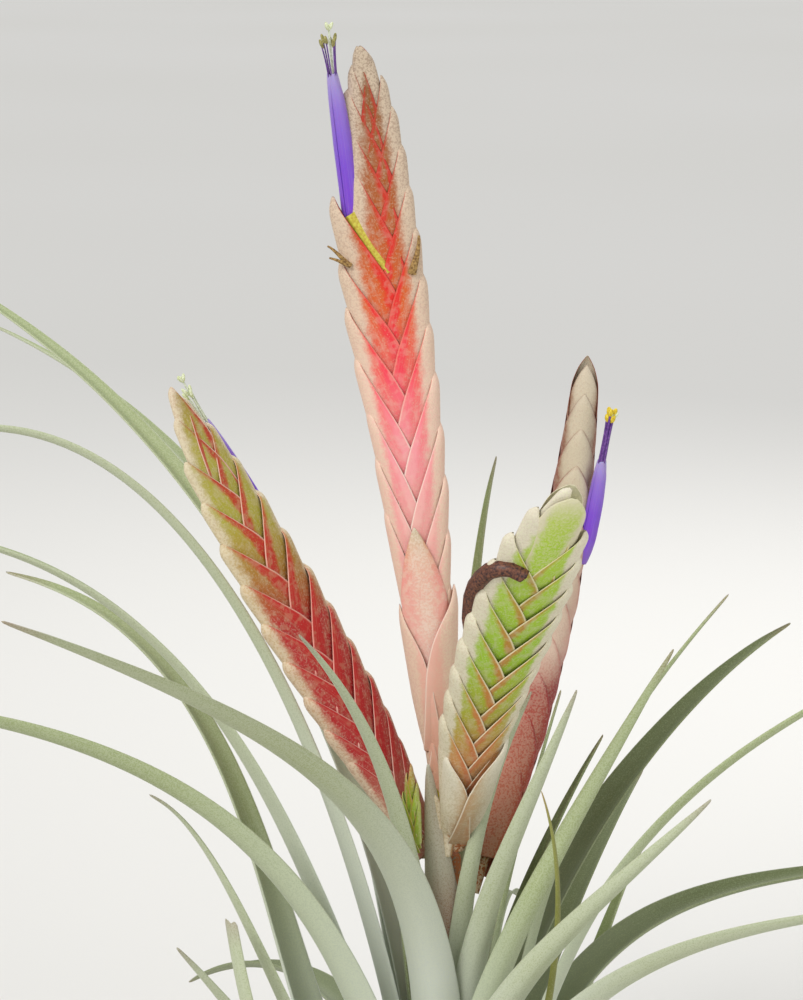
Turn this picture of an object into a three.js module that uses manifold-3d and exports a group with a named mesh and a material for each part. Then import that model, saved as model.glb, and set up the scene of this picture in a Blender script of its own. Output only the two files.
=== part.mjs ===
// A tillandsia in bloom: a rosette of channelled leaves round a short stem, and a flower stalk
// that carries four flattened spikes of folded bracts, with violet tubular flowers between them.
// Millimetres, +Z up. The flat trimmed underside of the stem rests on z = 0, its centre is the
// origin, and -Y faces the side the plant is usually looked at from.

import * as THREE from "three";
import { mergeVertices } from "three/addons/utils/BufferGeometryUtils.js";
import Module from "manifold-3d";

const wasm = await Module();
wasm.setup();

// Driving dimensions
const STEM_FOOT_RADIUS = 20;
const STEM_SHOULDER_RADIUS = 5.5;
const STEM_SHOULDER_HEIGHT = 44;
const STALK_RADIUS = 4;
const STALK_TOP = 134;
const STEM_SLOPE = [
  // height, radius of the stem there
  [0, STEM_FOOT_RADIUS],
  [5, STEM_FOOT_RADIUS - 0.5],
  [24, 13],
  [STEM_SHOULDER_HEIGHT, STEM_SHOULDER_RADIUS],
];
const LEAF_ROOT_TOP = 42;
const LEAF_ROOT_BOTTOM = 7;
const LEAF_THICKNESS = 1;
const WITHERED_THICKNESS = 0.6;
const GAP = 0.35;
const LEAF_RINGS = 10;
const LEAF_COLUMNS = 5;

// Leaves, from the innermost to the outermost. Each leaf leaves the stem at the compass angle
// "from" and ends at the angle "to" (degrees, 0 = +X, turning to +Y). "near" and "far" are the
// two handles of its curve and "tip" its end, each as distance from the stem axis and height.
// The blade of the torn leaf stops short, with the width it has there.
const TORN_LEAF = "torn_blade";
const TORN_WIDTH = 0.5;
const LEAVES = [
  // name, from, to, near, far, tip, width
  ["stalk_side_spear", 275, 327, [12, 113], [11, 150], [29, 190], 11],
  ["back_spear", 72, 75, [15, 125], [11, 212], [61, 247], 10],
  ["short_spear", 165, 160, [11, 75], [15, 100], [17, 132], 11],
  ["thin_spear", -8, -5, [10, 93], [19, 131], [34, 187], 8],
  ["red_side_spear", 234, 232, [13, 95], [12, 162], [71, 218], 13],
  ["high_arch_a", 126, 146, [19, 131], [82, 258], [218, 303], 14],
  ["dark_spear", 36, 8, [14, 85], [26, 125], [48, 170], 11],
  ["pale_spear", 287, 316, [16, 120], [26, 127], [51, 196], 15],
  ["long_arch_a", 188, 166, [26, 135], [70, 299], [180, 253], 18],
  ["broad_back", 50, 41, [22, 94], [89, 160], [155, 181], 20],
  ["front_arch", 261, 238, [25, 133], [22, 163], [210, 253], 18],
  ["high_arch_b", 131, 130, [32, 116], [38, 245], [265, 270], 14],
  ["needle", -81, -16, [31, 92], [23, 112], [69, 204], 13],
  ["dark_upright", 104, 126, [29, 95], [45, 130], [69, 178], 16],
  ["long_arch_b", 202, 192, [42, 109], [65, 253], [188, 243], 18],
  ["right_spear", -9, -8, [27, 93], [20, 139], [84, 219], 12],
  ["pale_blade", 276, 317, [33, 99], [65, 124], [100, 173], 16],
  ["back_arch_a", 78, 80, [32, 68], [80, 105], [170, 60], 18],
  ["low_arch", 226, 200, [44, 107], [54, 195], [226, 205], 18],
  ["right_arch", -14, 2, [37, 99], [40, 157], [164, 204], 15],
  ["withered_strip", 314, 305, [44, 74], [60, 135], [46, 166], 6],
  ["right_low_a", 29, 25, [49, 99], [62, 115], [192, 104], 19],
  ["back_arch_b", 132, 120, [30, 75], [85, 84], [185, 30], 18],
  ["low_arch_b", 200, 198, [51, 58], [67, 148], [94, 162], 17],
  ["right_low_b", -64, -50, [44, 66], [44, 122], [194, 170], 17],
  ["back_arch_c", 60, 62, [46, 58], [98, 102], [150, 120], 16],
  ["mid_arch", 152, 165, [77, 53], [45, 197], [144, 214], 20],
  ["front_blade", 242, 238, [61, 45], [92, 95], [141, 148], 15],
  ["right_low_c", 2, -8, [50, 46], [98, 86], [178, 84], 17],
  ["ground_back", 98, 98, [52, 42], [105, 60], [182, 0.3], 17],
  ["torn_blade", 214, 206, [60, 38], [70, 82], [74, 125], 15],
  ["ground_front", 287, 283, [50, 40], [95, 57], [160, 0.3], 17],
  ["curved_blade", 36, 35, [52, 51], [61, 102], [79, 123], 15],
  ["left_low", 176, 196, [56, 38], [112, 92], [205, 62], 18],
  ["ground_front_right", 328, 326, [54, 36], [100, 56], [172, 0.3], 17],
  ["ground_back_right", 72, 66, [54, 34], [105, 55], [178, 0.3], 17],
  ["ground_left", 212, 214, [56, 32], [110, 52], [186, 0.3], 17],
  ["ground_back_left", 140, 146, [56, 31], [105, 54], [185, 0.3], 17],
  ["ground_front_left", 258, 256, [56, 30], [95, 52], [165, 0.3], 17],
].map(([name, from, to, near, far, tip, width]) => ({ name, from, to, near, far, tip, width }));

// Clasping bracts on the flower stalk, from the top one down; "foot" is where each one starts.
const STALK_BRACTS = [
  // name, from, to, foot, near, far, tip, width
  ["stalk_bract_top", 128, 120, [5.2, 112], [6.4, 120], [7.2, 128], [8.4, 138], 9],
  ["stalk_bract_front", 262, 240, [5.6, 92], [9, 112], [11, 132], [13, 166], 17],
  ["stalk_bract_back", 60, 55, [5.4, 80], [6.4, 92], [8, 102], [11, 112], 12],
].map(([name, from, to, foot, near, far, tip, width]) => (
  { name, from, to, foot, near, far, tip, width }
));

// Spikes. The axis runs through two ends and two handles; "face" is the way the flat side looks.
// Bracts stand alternately on both edges. Their tips are spaced from "firstTip" to the end of the
// axis, closer together towards the end; "crowding" says by how much. "outline" is the distance
// from the axis to the edge along the axis, as a share of "halfWidth".
const SPIKES = [
  {
    name: "main_spike",
    axis: [[-1, 0, 135], [-8, 0, 210], [-15, 0, 300], [-26.5, 0, 379]],
    face: [0, -1, 0.1],
    bracts: 29,
    bractLength: 38,
    firstTip: 0.25,
    crowding: 1.35,
    halfWidth: 12.4,
    thickness: 4.2,
    stalkRadius: 2.2,
    outline: [[0.14, 0.17], [0.19, 0.25], [0.23, 0.55], [0.27, 0.68], [0.36, 0.76], [0.47, 0.9],
      [0.58, 0.94], [0.77, 0.95], [0.835, 0.86], [0.9, 0.77], [0.955, 0.62], [1, 0.25]],
    otherOutline: [[0.14, 0.17], [0.19, 0.31], [0.27, 0.58], [0.36, 0.55], [0.47, 0.8],
      [0.58, 0.9], [0.645, 1.04], [0.71, 1.17], [0.82, 1.2], [0.83, 0.7], [0.9, 0.64],
      [0.955, 0.56], [1, 0.25]],
  },
  {
    name: "left_spike",
    axis: [[-6.6, -1, 134], [-22, -8, 166], [-52, -8, 218], [-83, -8, 282]],
    face: [0.66, -0.7, 0.34],
    bracts: 23,
    bractLength: 29,
    firstTip: 0.2,
    crowding: 1.25,
    halfWidth: 13,
    thickness: 4.2,
    stalkRadius: 2.4,
    outline: [[0.08, 0.25], [0.2, 0.66], [0.4, 0.93], [0.65, 1], [0.8, 0.88], [0.92, 0.6], [1, 0.05]],
  },
  {
    name: "front_spike",
    axis: [[2.6, -6.4, 138], [3.4, -20, 175], [14.6, -45, 215], [34.4, -73, 264]],
    face: [0.15, -1, -0.35],
    bracts: 19,
    bractLength: 29,
    firstTip: 0.25,
    crowding: 1.2,
    halfWidth: 12.8,
    thickness: 4.4,
    stalkRadius: 2.4,
    outline: [[0.08, 0.25], [0.2, 0.62], [0.4, 0.86], [0.68, 1], [0.84, 0.92], [0.94, 0.68], [1, 0.08]],
    otherOutline: [[0.08, 0.28], [0.2, 0.72], [0.4, 1.08], [0.68, 1.18], [0.84, 1.1], [0.94, 0.85],
      [1, 0.15]],
  },
  {
    name: "rear_spike",
    axis: [[7.2, 4, 120], [22.5, 18, 165], [39.5, 26, 225], [42.4, 25, 285]],
    face: [-1, 0.05, 0.1],
    bracts: 21,
    bractLength: 31,
    firstTip: 0.24,
    crowding: 1.25,
    halfWidth: 10.6,
    thickness: 8.2,
    stalkRadius: 2.4,
    outline: [[0.1, 0.25], [0.22, 0.66], [0.42, 0.92], [0.65, 1], [0.8, 0.84], [0.92, 0.54], [1, 0.05]],
  },
];

// A folded bract along its length: its keel and its margin, as shares of the distance from the
// axis to the spike's edge, and half its depth, as a share of the spike's thickness. The margins
// start past the midline and reach the keel at the tip.
const KEEL_LINE = [[0, 0.78], [0.35, 0.9], [0.7, 0.99], [0.88, 1.04], [1, 0.94]];
const MARGIN_LINE = [[0, -0.75], [0.35, 0], [0.9, 0.8], [1, 0.84]];
const DEPTH_LINE = [[0, 0.68], [0.15, 0.92], [0.35, 1.05], [0.6, 1.03], [0.88, 0.8], [1, 0.42]];

// Thickness of a spike along its axis, as a share of "thickness".
const THICKNESS_LINE = [[0, 0.55], [0.35, 1], [0.6, 1], [1, 0.45]];

// Flowers: where each petal tube starts inside its bract, the middle of its mouth, the radius of
// the tube, and how far the stamens and the stigma stand out of the mouth.
const FLOWERS = [
  // name, root, mouth, radius, stamens, style
  ["main_flower", [-27.4, -0.5, 312], [-34.6, -3, 372.5], 3.1, 7.5, 12],
  ["left_flower", [-55.5, 3.5, 238], [-72, 4, 267.5], 2.5, 8, 15],
  ["rear_flower", [44, 16, 223], [47.4, 14.5, 254], 2.6, 13, 15],
].map(([name, root, mouth, radius, stamens, style]) => (
  { name, root, mouth, radius, stamens, style }
));

const COLOURS = {
  leaf: "#8c9a7c",
  leafPale: "#a9b29b",
  leafDark: "#5c6b47",
  withered: "#8f9150",
  stem: "#6b4a33",
  scarlet: "#c8402c",
  coral: "#e0837a",
  lime: "#9fae3c",
  cream: "#c9b7a0",
  bractPink: "#cbb0a2",
  violet: "#4a30b0",
  filament: "#4b2f8a",
  stigma: "#c8cf8a",
  dried: "#5a3626",
};

// Small vector helpers
const toVector = (p) => new THREE.Vector3(...p);

function compass(degrees, radius, height) {
  const a = THREE.MathUtils.degToRad(degrees);
  return new THREE.Vector3(radius * Math.cos(a), radius * Math.sin(a), height);
}

// Reads a value between listed stations, joined by straight lines.
function along(stations, s) {
  for (let i = 1; i < stations.length; i++) {
    const [s0, v0] = stations[i - 1];
    const [s1, v1] = stations[i];
    if (s <= s1) return v0 + ((v1 - v0) * (s - s0)) / (s1 - s0);
  }
  return stations[stations.length - 1][1];
}

// Frames carried along a curve without twisting, from a first normal.
function carriedFrames(curve, firstNormal, fractions) {
  const frames = [];
  let normal = firstNormal.clone();
  for (const s of fractions) {
    const tangent = curve.getTangent(s).normalize();
    normal = normal.clone().addScaledVector(tangent, -normal.dot(tangent)).normalize();
    const side = new THREE.Vector3().crossVectors(normal, tangent).normalize();
    frames.push({ s, at: curve.getPoint(s), tangent, normal: normal.clone(), side });
  }
  return frames;
}

// Closed skin over rings of equal length, with a flat lid on the first and the last ring.
function loft(rings) {
  const ringLength = rings[0].length;
  const positions = rings.flat().flatMap((p) => [p.x, p.y, p.z]);
  const faces = [];
  for (let i = 0; i + 1 < rings.length; i++) {
    for (let j = 0; j < ringLength; j++) {
      const a = i * ringLength + j;
      const b = i * ringLength + ((j + 1) % ringLength);
      faces.push(a, b, b + ringLength, a, b + ringLength, a + ringLength);
    }
  }
  return { positions, faces, ringLength, ringCount: rings.length };
}

// Lid for a ring made of an outer row and an inner row read backwards: a strip across the ring.
function stripLid(first, count, flip) {
  const faces = [];
  for (let j = 0; j + 1 < count / 2; j++) {
    const a = first + j;
    const b = first + j + 1;
    const c = first + count - 1 - j;
    const d = first + count - 2 - j;
    faces.push(...(flip ? [a, b, c, b, d, c] : [a, c, b, b, c, d]));
  }
  return faces;
}

// Lid made of triangles that all start at the ring's first point.
function fanLid(first, count, flip) {
  const faces = [];
  for (let j = 1; j + 1 < count; j++) {
    faces.push(...(flip ? [first, first + j, first + j + 1] : [first, first + j + 1, first + j]));
  }
  return faces;
}

function closedGeometry(skin, lid) {
  const lastRing = (skin.ringCount - 1) * skin.ringLength;
  const faces = [
    ...skin.faces,
    ...lid(0, skin.ringLength, false),
    ...lid(lastRing, skin.ringLength, true),
  ];
  const geometry = new THREE.BufferGeometry();
  geometry.setAttribute("position", new THREE.Float32BufferAttribute(skin.positions, 3));
  geometry.setIndex(faces);
  return geometry;
}

function volumeOf(geometry) {
  const p = geometry.getAttribute("position");
  const index = geometry.getIndex();
  const a = new THREE.Vector3();
  const b = new THREE.Vector3();
  const c = new THREE.Vector3();
  let sum = 0;
  for (let i = 0; i < index.count; i += 3) {
    a.fromBufferAttribute(p, index.getX(i));
    b.fromBufferAttribute(p, index.getX(i + 1));
    c.fromBufferAttribute(p, index.getX(i + 2));
    sum += a.dot(b.cross(c)) / 6;
  }
  return sum;
}

// Turns every face over when a closed skin came out facing inwards.
function facingOut(geometry) {
  if (volumeOf(geometry) > 0) return geometry;
  const index = geometry.getIndex();
  for (let i = 0; i < index.count; i += 3) {
    const b = index.getX(i + 1);
    index.setX(i + 1, index.getX(i + 2));
    index.setX(i + 2, b);
  }
  return geometry;
}

function toSolid(geometry) {
  const bare = facingOut(mergeVertices(geometry, 1e-4));
  return new wasm.Manifold(
    new wasm.Mesh({
      numProp: 3,
      vertProperties: new Float32Array(bare.getAttribute("position").array),
      triVerts: new Uint32Array(bare.getIndex().array),
    }),
  );
}

function toGeometry(solid) {
  const mesh = solid.getMesh();
  const geometry = new THREE.BufferGeometry();
  geometry.setAttribute("position", new THREE.Float32BufferAttribute(mesh.vertProperties, 3));
  geometry.setIndex(new THREE.Uint32BufferAttribute(mesh.triVerts, 1));
  return geometry;
}

const group = new THREE.Group();
group.name = "arco_iris_tillandsia";

function add(name, geometry, colour, roughness = 0.8) {
  const shaded = geometry.index ? geometry : mergeVertices(geometry);
  shaded.computeVertexNormals();
  const material = new THREE.MeshStandardMaterial({ color: colour, roughness, metalness: 0 });
  const mesh = new THREE.Mesh(shaded, material);
  mesh.name = name;
  group.add(mesh);
}

// Channelled leaf: an arc of a section carried along the leaf's curve. The section wraps the
// stem at the sheath, folds tighter in the blade and runs out to the tip.
function leafGeometry(leaf, root, thickness) {
  const curve = new THREE.CubicBezierCurve3(
    compass(leaf.from, ...root),
    compass(leaf.from, ...leaf.near),
    compass((leaf.from + leaf.to) / 2, ...leaf.far),
    compass(leaf.to, ...leaf.tip),
  );
  const sheathWidth = Math.min(1.3 * leaf.width, 1.7 * root[0]);
  const blunt = leaf.name === TORN_LEAF ? TORN_WIDTH : 0;
  const widthAlong = [
    [0, sheathWidth],
    [0.12, Math.max(sheathWidth * 0.9, leaf.width)],
    [0.3, leaf.width * 0.88],
    [0.55, leaf.width * 0.62],
    [0.8, leaf.width * Math.max(0.36, blunt)],
    [0.94, leaf.width * Math.max(0.17, blunt)],
    [1, leaf.width * Math.max(0.05, blunt)],
  ];
  const sheathFold = sheathWidth / 2 / root[0];
  const foldAlong = [
    [0, sheathFold],
    [0.15, 0.8],
    [0.4, 1.05],
    [0.8, 0.9],
    [1, 0.5],
  ];
  const thicknessAlong = [
    [0, thickness],
    [0.5, thickness * 0.9],
    [0.9, thickness * 0.6],
    [1, thickness * 0.35],
  ];
  const fractions = Array.from({ length: LEAF_RINGS + 1 }, (_, i) => i / LEAF_RINGS);
  const inward = compass(leaf.from, -1, 0.2);
  const rings = carriedFrames(curve, inward, fractions).map((frame) => {
    const width = along(widthAlong, frame.s);
    const fold = along(foldAlong, frame.s);
    const bend = width / 2 / fold;
    const outer = [];
    const inner = [];
    for (let j = 0; j < LEAF_COLUMNS; j++) {
      const across = (2 * j) / (LEAF_COLUMNS - 1) - 1;
      const half = (along(thicknessAlong, frame.s) / 2) * (1 - 0.6 * across * across);
      const angle = fold * across;
      for (const [row, radius] of [[outer, bend + half], [inner, bend - half]]) {
        row.push(
          frame.at
            .clone()
            .addScaledVector(frame.side, radius * Math.sin(angle))
            .addScaledVector(frame.normal, bend - radius * Math.cos(angle)),
        );
      }
    }
    return [...outer, ...inner.reverse()];
  });
  return facingOut(closedGeometry(loft(rings), stripLid));
}

// Round tube of changing radius along a curve, with evenly spaced rings, or with one ring at
// each station when no ring count is given.
function tubeGeometry(curve, stations, rings, sides) {
  const fractions = rings
    ? Array.from({ length: rings + 1 }, (_, i) => i / rings)
    : stations.map(([s]) => s);
  const tangent = curve.getTangent(0);
  const aside = Math.abs(tangent.x) > 0.8 ? new THREE.Vector3(0, 1, 0) : new THREE.Vector3(1, 0, 0);
  const ringsOfPoints = carriedFrames(curve, aside, fractions).map((frame) => {
    const radius = along(stations, frame.s);
    return Array.from({ length: sides }, (_, j) => {
      const a = (2 * Math.PI * j) / sides;
      return frame.at
        .clone()
        .addScaledVector(frame.side, radius * Math.cos(a))
        .addScaledVector(frame.normal, radius * Math.sin(a));
    });
  });
  return facingOut(closedGeometry(loft(ringsOfPoints), fanLid));
}

// Stem: a squat cone with a flat underside, drawn out at the top into the flower stalk.
function stemGeometry() {
  const profile = [
    [0, 0],
    [STEM_FOOT_RADIUS - 1.5, 0],
    [STEM_FOOT_RADIUS, 1.5],
    ...STEM_SLOPE.slice(1).map(([height, radius]) => [radius, height]),
    [STALK_RADIUS, 60],
    [STALK_RADIUS - 0.2, STALK_TOP - 1],
    [STALK_RADIUS - 1, STALK_TOP],
    [0, STALK_TOP],
  ].map(([r, z]) => new THREE.Vector2(r, z));
  const geometry = new THREE.LatheGeometry(profile, 20);
  geometry.rotateX(Math.PI / 2);
  geometry.deleteAttribute("uv");
  geometry.deleteAttribute("normal");
  return facingOut(mergeVertices(geometry, 1e-4));
}

// One folded bract as a filled wedge: its keel is the outer edge of the spike, and its two
// margins run from past the midline at its foot to the keel at its tip. It stands a little proud
// of the bracts above it, which it clasps.
function bractSolid(spike, frameAt, side, foot, tip) {
  const outline = side < 0 ? spike.otherOutline ?? spike.outline : spike.outline;
  const wide = spike.halfWidth * along(outline, tip);
  const rings = [0, 0.38, 0.8, 1].map((h) => {
    const s = foot + (tip - foot) * h;
    const frame = frameAt(s);
    const edge = Math.max(spike.halfWidth * along(outline, s), h < 0.8 ? 0 : wide);
    const keel = edge * along(KEEL_LINE, h);
    const margin = edge * along(MARGIN_LINE, h);
    const middle = (keel * 1.2 + margin) / 2.2;
    const depth = spike.thickness * along(THICKNESS_LINE, s);
    const half = depth * along(DEPTH_LINE, h);
    const point = (v, n) =>
      frame.at.clone().addScaledVector(frame.across, side * v).addScaledVector(frame.face, n);
    return [
      point(keel, 0),
      point(middle, -half * 0.84),
      point(margin, -half),
      point(margin, half),
      point(middle, half * 0.84),
    ];
  });
  return toSolid(closedGeometry(loft(rings), fanLid));
}

function spikeFrames(spike) {
  const curve = new THREE.CubicBezierCurve3(...spike.axis.map(toVector));
  const look = toVector(spike.face).normalize();
  return (s) => {
    const tangent = curve.getTangent(s).normalize();
    const face = look.clone().addScaledVector(tangent, -look.dot(tangent)).normalize();
    const across = new THREE.Vector3().crossVectors(tangent, face).normalize();
    return { at: curve.getPoint(s), tangent, face, across };
  };
}

function spikeSolid(spike) {
  const frameAt = spikeFrames(spike);
  const curve = new THREE.CubicBezierCurve3(...spike.axis.map(toVector));
  const total = curve.getLength();
  const start = spike.outline[0][0];
  const core = [
    [0, spike.stalkRadius],
    [start, spike.stalkRadius],
    [start + 0.12, spike.thickness * 0.5],
    [0.8, spike.thickness * 0.5],
    [0.94, spike.thickness * 0.2],
    [1, 0.3],
  ];
  let solid = toSolid(tubeGeometry(curve, core, 8, 6));
  for (let i = 0; i < spike.bracts; i++) {
    const up = i / (spike.bracts - 1);
    const tip = Math.min(1 - (1 - spike.firstTip) * (1 - up) ** spike.crowding, 0.999);
    const length = (spike.bractLength * (1 - 0.3 * up ** 2)) / total;
    const foot = Math.max(tip - length, 0.01);
    solid = solid.add(bractSolid(spike, frameAt, i % 2 ? 1 : -1, foot, tip));
  }
  return solid;
}

// Petal tube: three rolled petals read as one flared tube with an open mouth.
function corollaSolid(flower, extra = 0) {
  const root = toVector(flower.root);
  const mouth = toVector(flower.mouth);
  const middle = root.clone().lerp(mouth, 0.5).add(new THREE.Vector3(0.8, 0, 0));
  const curve = new THREE.QuadraticBezierCurve3(root, middle, mouth);
  const r = flower.radius;
  const outside = [[0, r * 0.75], [0.2, r * 0.95], [0.6, r], [0.88, r * 0.9], [1, r * 0.7]];
  const grown = outside.map(([s, value]) => [s, value + extra]);
  const tube = toSolid(tubeGeometry(curve, grown, 7, 10));
  if (extra) return tube;
  const cup = new THREE.LineCurve3(
    curve.getPoint(0.86),
    mouth.clone().addScaledVector(curve.getTangent(1), 1),
  );
  return tube.subtract(toSolid(tubeGeometry(cup, [[0, r * 0.52], [1, r * 0.56]], 1, 10)));
}

// Six filaments with their anthers on a small collar that sits in the mouth of the tube.
function stamenSolid(flower) {
  const mouth = toVector(flower.mouth);
  const up = mouth.clone().sub(toVector(flower.root)).normalize();
  const aside = new THREE.Vector3(0, 1, 0).cross(up).normalize();
  const over = new THREE.Vector3().crossVectors(up, aside);
  const floor = mouth.clone().addScaledVector(up, -mouth.distanceTo(toVector(flower.root)) * 0.1);
  const ringRadius = flower.radius * 0.33;
  const outer = toSolid(
    tubeGeometry(
      new THREE.LineCurve3(floor, floor.clone().addScaledVector(up, 1)),
      [[0, ringRadius + 0.4], [1, ringRadius + 0.4]], 1, 10,
    ),
  );
  const hole = toSolid(
    tubeGeometry(
      new THREE.LineCurve3(floor.clone().addScaledVector(up, -1), floor.clone().addScaledVector(up, 2)),
      [[0, 0.7], [1, 0.7]], 1, 6,
    ),
  );
  let solid = outer.subtract(hole);
  for (let i = 0; i < 6; i++) {
    const a = (Math.PI * i) / 3;
    const out = aside.clone().multiplyScalar(Math.cos(a)).addScaledVector(over, Math.sin(a));
    const reach = flower.stamens * (i % 2 ? 0.82 : 1);
    const foot = floor.clone().addScaledVector(out, ringRadius).addScaledVector(up, 0.5);
    const tip = mouth.clone().addScaledVector(out, ringRadius + 1.1).addScaledVector(up, reach + 2.4);
    const anther = 1 - 2.6 / foot.distanceTo(tip);
    const shape = [[0, 0.28], [anther, 0.24], [anther + 0.06, 0.55], [1, 0.3]];
    solid = solid.add(toSolid(tubeGeometry(new THREE.LineCurve3(foot, tip), shape, 0, 4)));
  }
  return solid;
}

// Style that runs up the middle of the stamens, with three short stigma lobes.
function pistilSolid(flower) {
  const mouth = toVector(flower.mouth);
  const up = mouth.clone().sub(toVector(flower.root)).normalize();
  const aside = new THREE.Vector3(0, 1, 0).cross(up).normalize();
  const over = new THREE.Vector3().crossVectors(up, aside);
  const length = mouth.distanceTo(toVector(flower.root));
  const foot = mouth.clone().addScaledVector(up, -length * 0.1);
  const top = mouth.clone().addScaledVector(up, flower.style).addScaledVector(aside, 0.6);
  let solid = toSolid(
    tubeGeometry(new THREE.LineCurve3(foot, top), [[0, 0.3], [1, 0.36]], 0, 6),
  );
  for (let i = 0; i < 3; i++) {
    const a = (2 * Math.PI * i) / 3;
    const out = aside.clone().multiplyScalar(Math.cos(a)).addScaledVector(over, Math.sin(a));
    const start = top.clone().addScaledVector(up, -0.6);
    const end = top.clone().addScaledVector(up, 2.6).addScaledVector(out, 1.1);
    const lobe = tubeGeometry(new THREE.LineCurve3(start, end), [[0, 0.35], [0.6, 0.6], [1, 0.3]], 0, 5);
    solid = solid.add(toSolid(lobe));
  }
  return solid;
}

function leafColour(name) {
  if (/dark|back/.test(name)) return COLOURS.leafDark;
  if (/pale|front/.test(name)) return COLOURS.leafPale;
  if (/withered/.test(name)) return COLOURS.withered;
  return COLOURS.leaf;
}

add("stem_and_stalk", stemGeometry(), COLOURS.stem);

LEAVES.forEach((leaf, i) => {
  const down = i / (LEAVES.length - 1);
  const height = LEAF_ROOT_TOP - (LEAF_ROOT_TOP - LEAF_ROOT_BOTTOM) * down;
  const stemRadius = along(STEM_SLOPE, height);
  const root = [stemRadius + GAP + LEAF_THICKNESS, height];
  const withered = leaf.name.startsWith("withered");
  const thickness = withered ? WITHERED_THICKNESS : LEAF_THICKNESS;
  add(`leaf_${leaf.name}`, leafGeometry(leaf, root, thickness), leafColour(leaf.name));
});

for (const bract of STALK_BRACTS) {
  add(bract.name, leafGeometry(bract, bract.foot, 0.8), COLOURS.bractPink);
}

const spikeColours = {
  main_spike: COLOURS.coral,
  left_spike: COLOURS.scarlet,
  front_spike: COLOURS.lime,
  rear_spike: COLOURS.cream,
};

// Dried flower that hangs over the edge of the front spike.
const driedCurve = new THREE.CatmullRomCurve3(
  [[19, -62, 237.5], [14, -63, 240], [10, -60, 238], [5, -51, 229], [6.4, -44, 217.5]].map(toVector),
);
const driedShape = [[0, 1], [0.15, 1.5], [0.5, 2.2], [0.85, 1.8], [1, 0.7]];

for (const spike of SPIKES) {
  let solid = spikeSolid(spike);
  for (const flower of FLOWERS) {
    solid = solid.subtract(corollaSolid(flower, GAP));
  }
  const grown = driedShape.map(([s, r]) => [s, r + GAP]);
  solid = solid.subtract(toSolid(tubeGeometry(driedCurve, grown, 12, 10)));
  add(spike.name, toGeometry(solid), spikeColours[spike.name]);
}

for (const flower of FLOWERS) {
  add(`${flower.name}_petals`, toGeometry(corollaSolid(flower)), COLOURS.violet, 0.5);
  add(`${flower.name}_stamens`, toGeometry(stamenSolid(flower)), COLOURS.filament, 0.6);
  add(`${flower.name}_pistil`, toGeometry(pistilSolid(flower)), COLOURS.stigma, 0.6);
}

add("dried_flower", tubeGeometry(driedCurve, driedShape, 12, 10), COLOURS.dried, 0.9);

// Small young spike at the foot of the left one.
const youngCurve = new THREE.QuadraticBezierCurve3(
  ...[[-9.5, -9.8, 138], [-12.5, -13.5, 150], [-11.8, -14, 167]].map(toVector),
);
add(
  "young_spike",
  tubeGeometry(youngCurve, [[0, 1], [0.3, 2.6], [0.7, 2.2], [1, 0.4]], 8, 8),
  COLOURS.lime,
);

export default group;
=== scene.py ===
# %% [markdown]
# # A tillandsia in bloom
#
# This lesson rebuilds one air plant in Blender: a rosette of channelled grey-green leaves and a
# stalk with four flattened spikes of folded bracts, from which violet flowers grow. A plant has
# few shapes and repeats them, so two blanks do most of the work: one leaf and one bract. Each is
# modelled once, copied, sized, and bent along a curve or set in its place on a spike.
#
# Lengths in the tables are millimetres; Blender works in metres.

# %% Load the frame
import math
import random

import bmesh
import bpy
from mathutils import Matrix, Vector


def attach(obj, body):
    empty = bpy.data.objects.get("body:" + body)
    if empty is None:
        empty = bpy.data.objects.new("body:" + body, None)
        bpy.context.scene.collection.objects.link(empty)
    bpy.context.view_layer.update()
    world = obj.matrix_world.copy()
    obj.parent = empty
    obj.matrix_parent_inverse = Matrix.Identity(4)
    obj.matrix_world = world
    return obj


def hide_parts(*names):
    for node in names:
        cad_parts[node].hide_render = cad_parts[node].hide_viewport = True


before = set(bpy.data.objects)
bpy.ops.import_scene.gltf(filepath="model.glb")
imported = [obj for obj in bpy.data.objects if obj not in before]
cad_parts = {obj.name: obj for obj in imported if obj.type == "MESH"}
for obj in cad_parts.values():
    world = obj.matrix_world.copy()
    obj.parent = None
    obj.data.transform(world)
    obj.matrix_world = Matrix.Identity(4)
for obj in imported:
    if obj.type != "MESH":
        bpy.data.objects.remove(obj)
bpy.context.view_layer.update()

bpy.ops.object.select_all(action="DESELECT")
MM = 0.001

# %% [markdown]
# ## Helpers for node trees
#
# A material is a tree of nodes. These helpers add one node at a time and join it to what feeds
# it, so that each material below reads as a short list of steps.

# %% Helpers for node trees
def colour(code):
    """A web colour such as #ff8800 as the linear RGBA that nodes want."""
    values = [int(code[i:i + 2], 16) / 255 for i in (1, 3, 5)]
    return [v / 12.92 if v < 0.04 else ((v + 0.055) / 1.055) ** 2.4 for v in values] + [1]


def node(tree, kind, inputs=None, **settings):
    """Adds a node. Each input is a plain value, or the output of another node."""
    made = tree.nodes.new("ShaderNode" + kind)
    for name, value in settings.items():
        setattr(made, name, value)
    for name, value in (inputs or {}).items():
        if isinstance(value, bpy.types.NodeSocket):
            tree.links.new(value, made.inputs[name])
        else:
            made.inputs[name].default_value = value
    return made


def maths(tree, operation, a, b=0.0):
    return node(tree, "Math", {0: a, 1: b}, operation=operation).outputs[0]


def times(tree, a, b):
    return maths(tree, "MULTIPLY", a, b)


def minus(tree, a, b):
    return maths(tree, "SUBTRACT", a, b)


def rescale(tree, value, low, high, start=0.0, end=1.0, slope="LINEAR"):
    """low where the value is start and high where it is end, level before and after."""
    limits = {"Value": value, "From Min": start, "From Max": end, "To Min": low, "To Max": high}
    return node(tree, "MapRange", limits, interpolation_type=slope).outputs[0]


def soft_step(tree, value, start, end):
    return rescale(tree, value, 0.0, 1.0, start, end, "SMOOTHSTEP")


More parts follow.
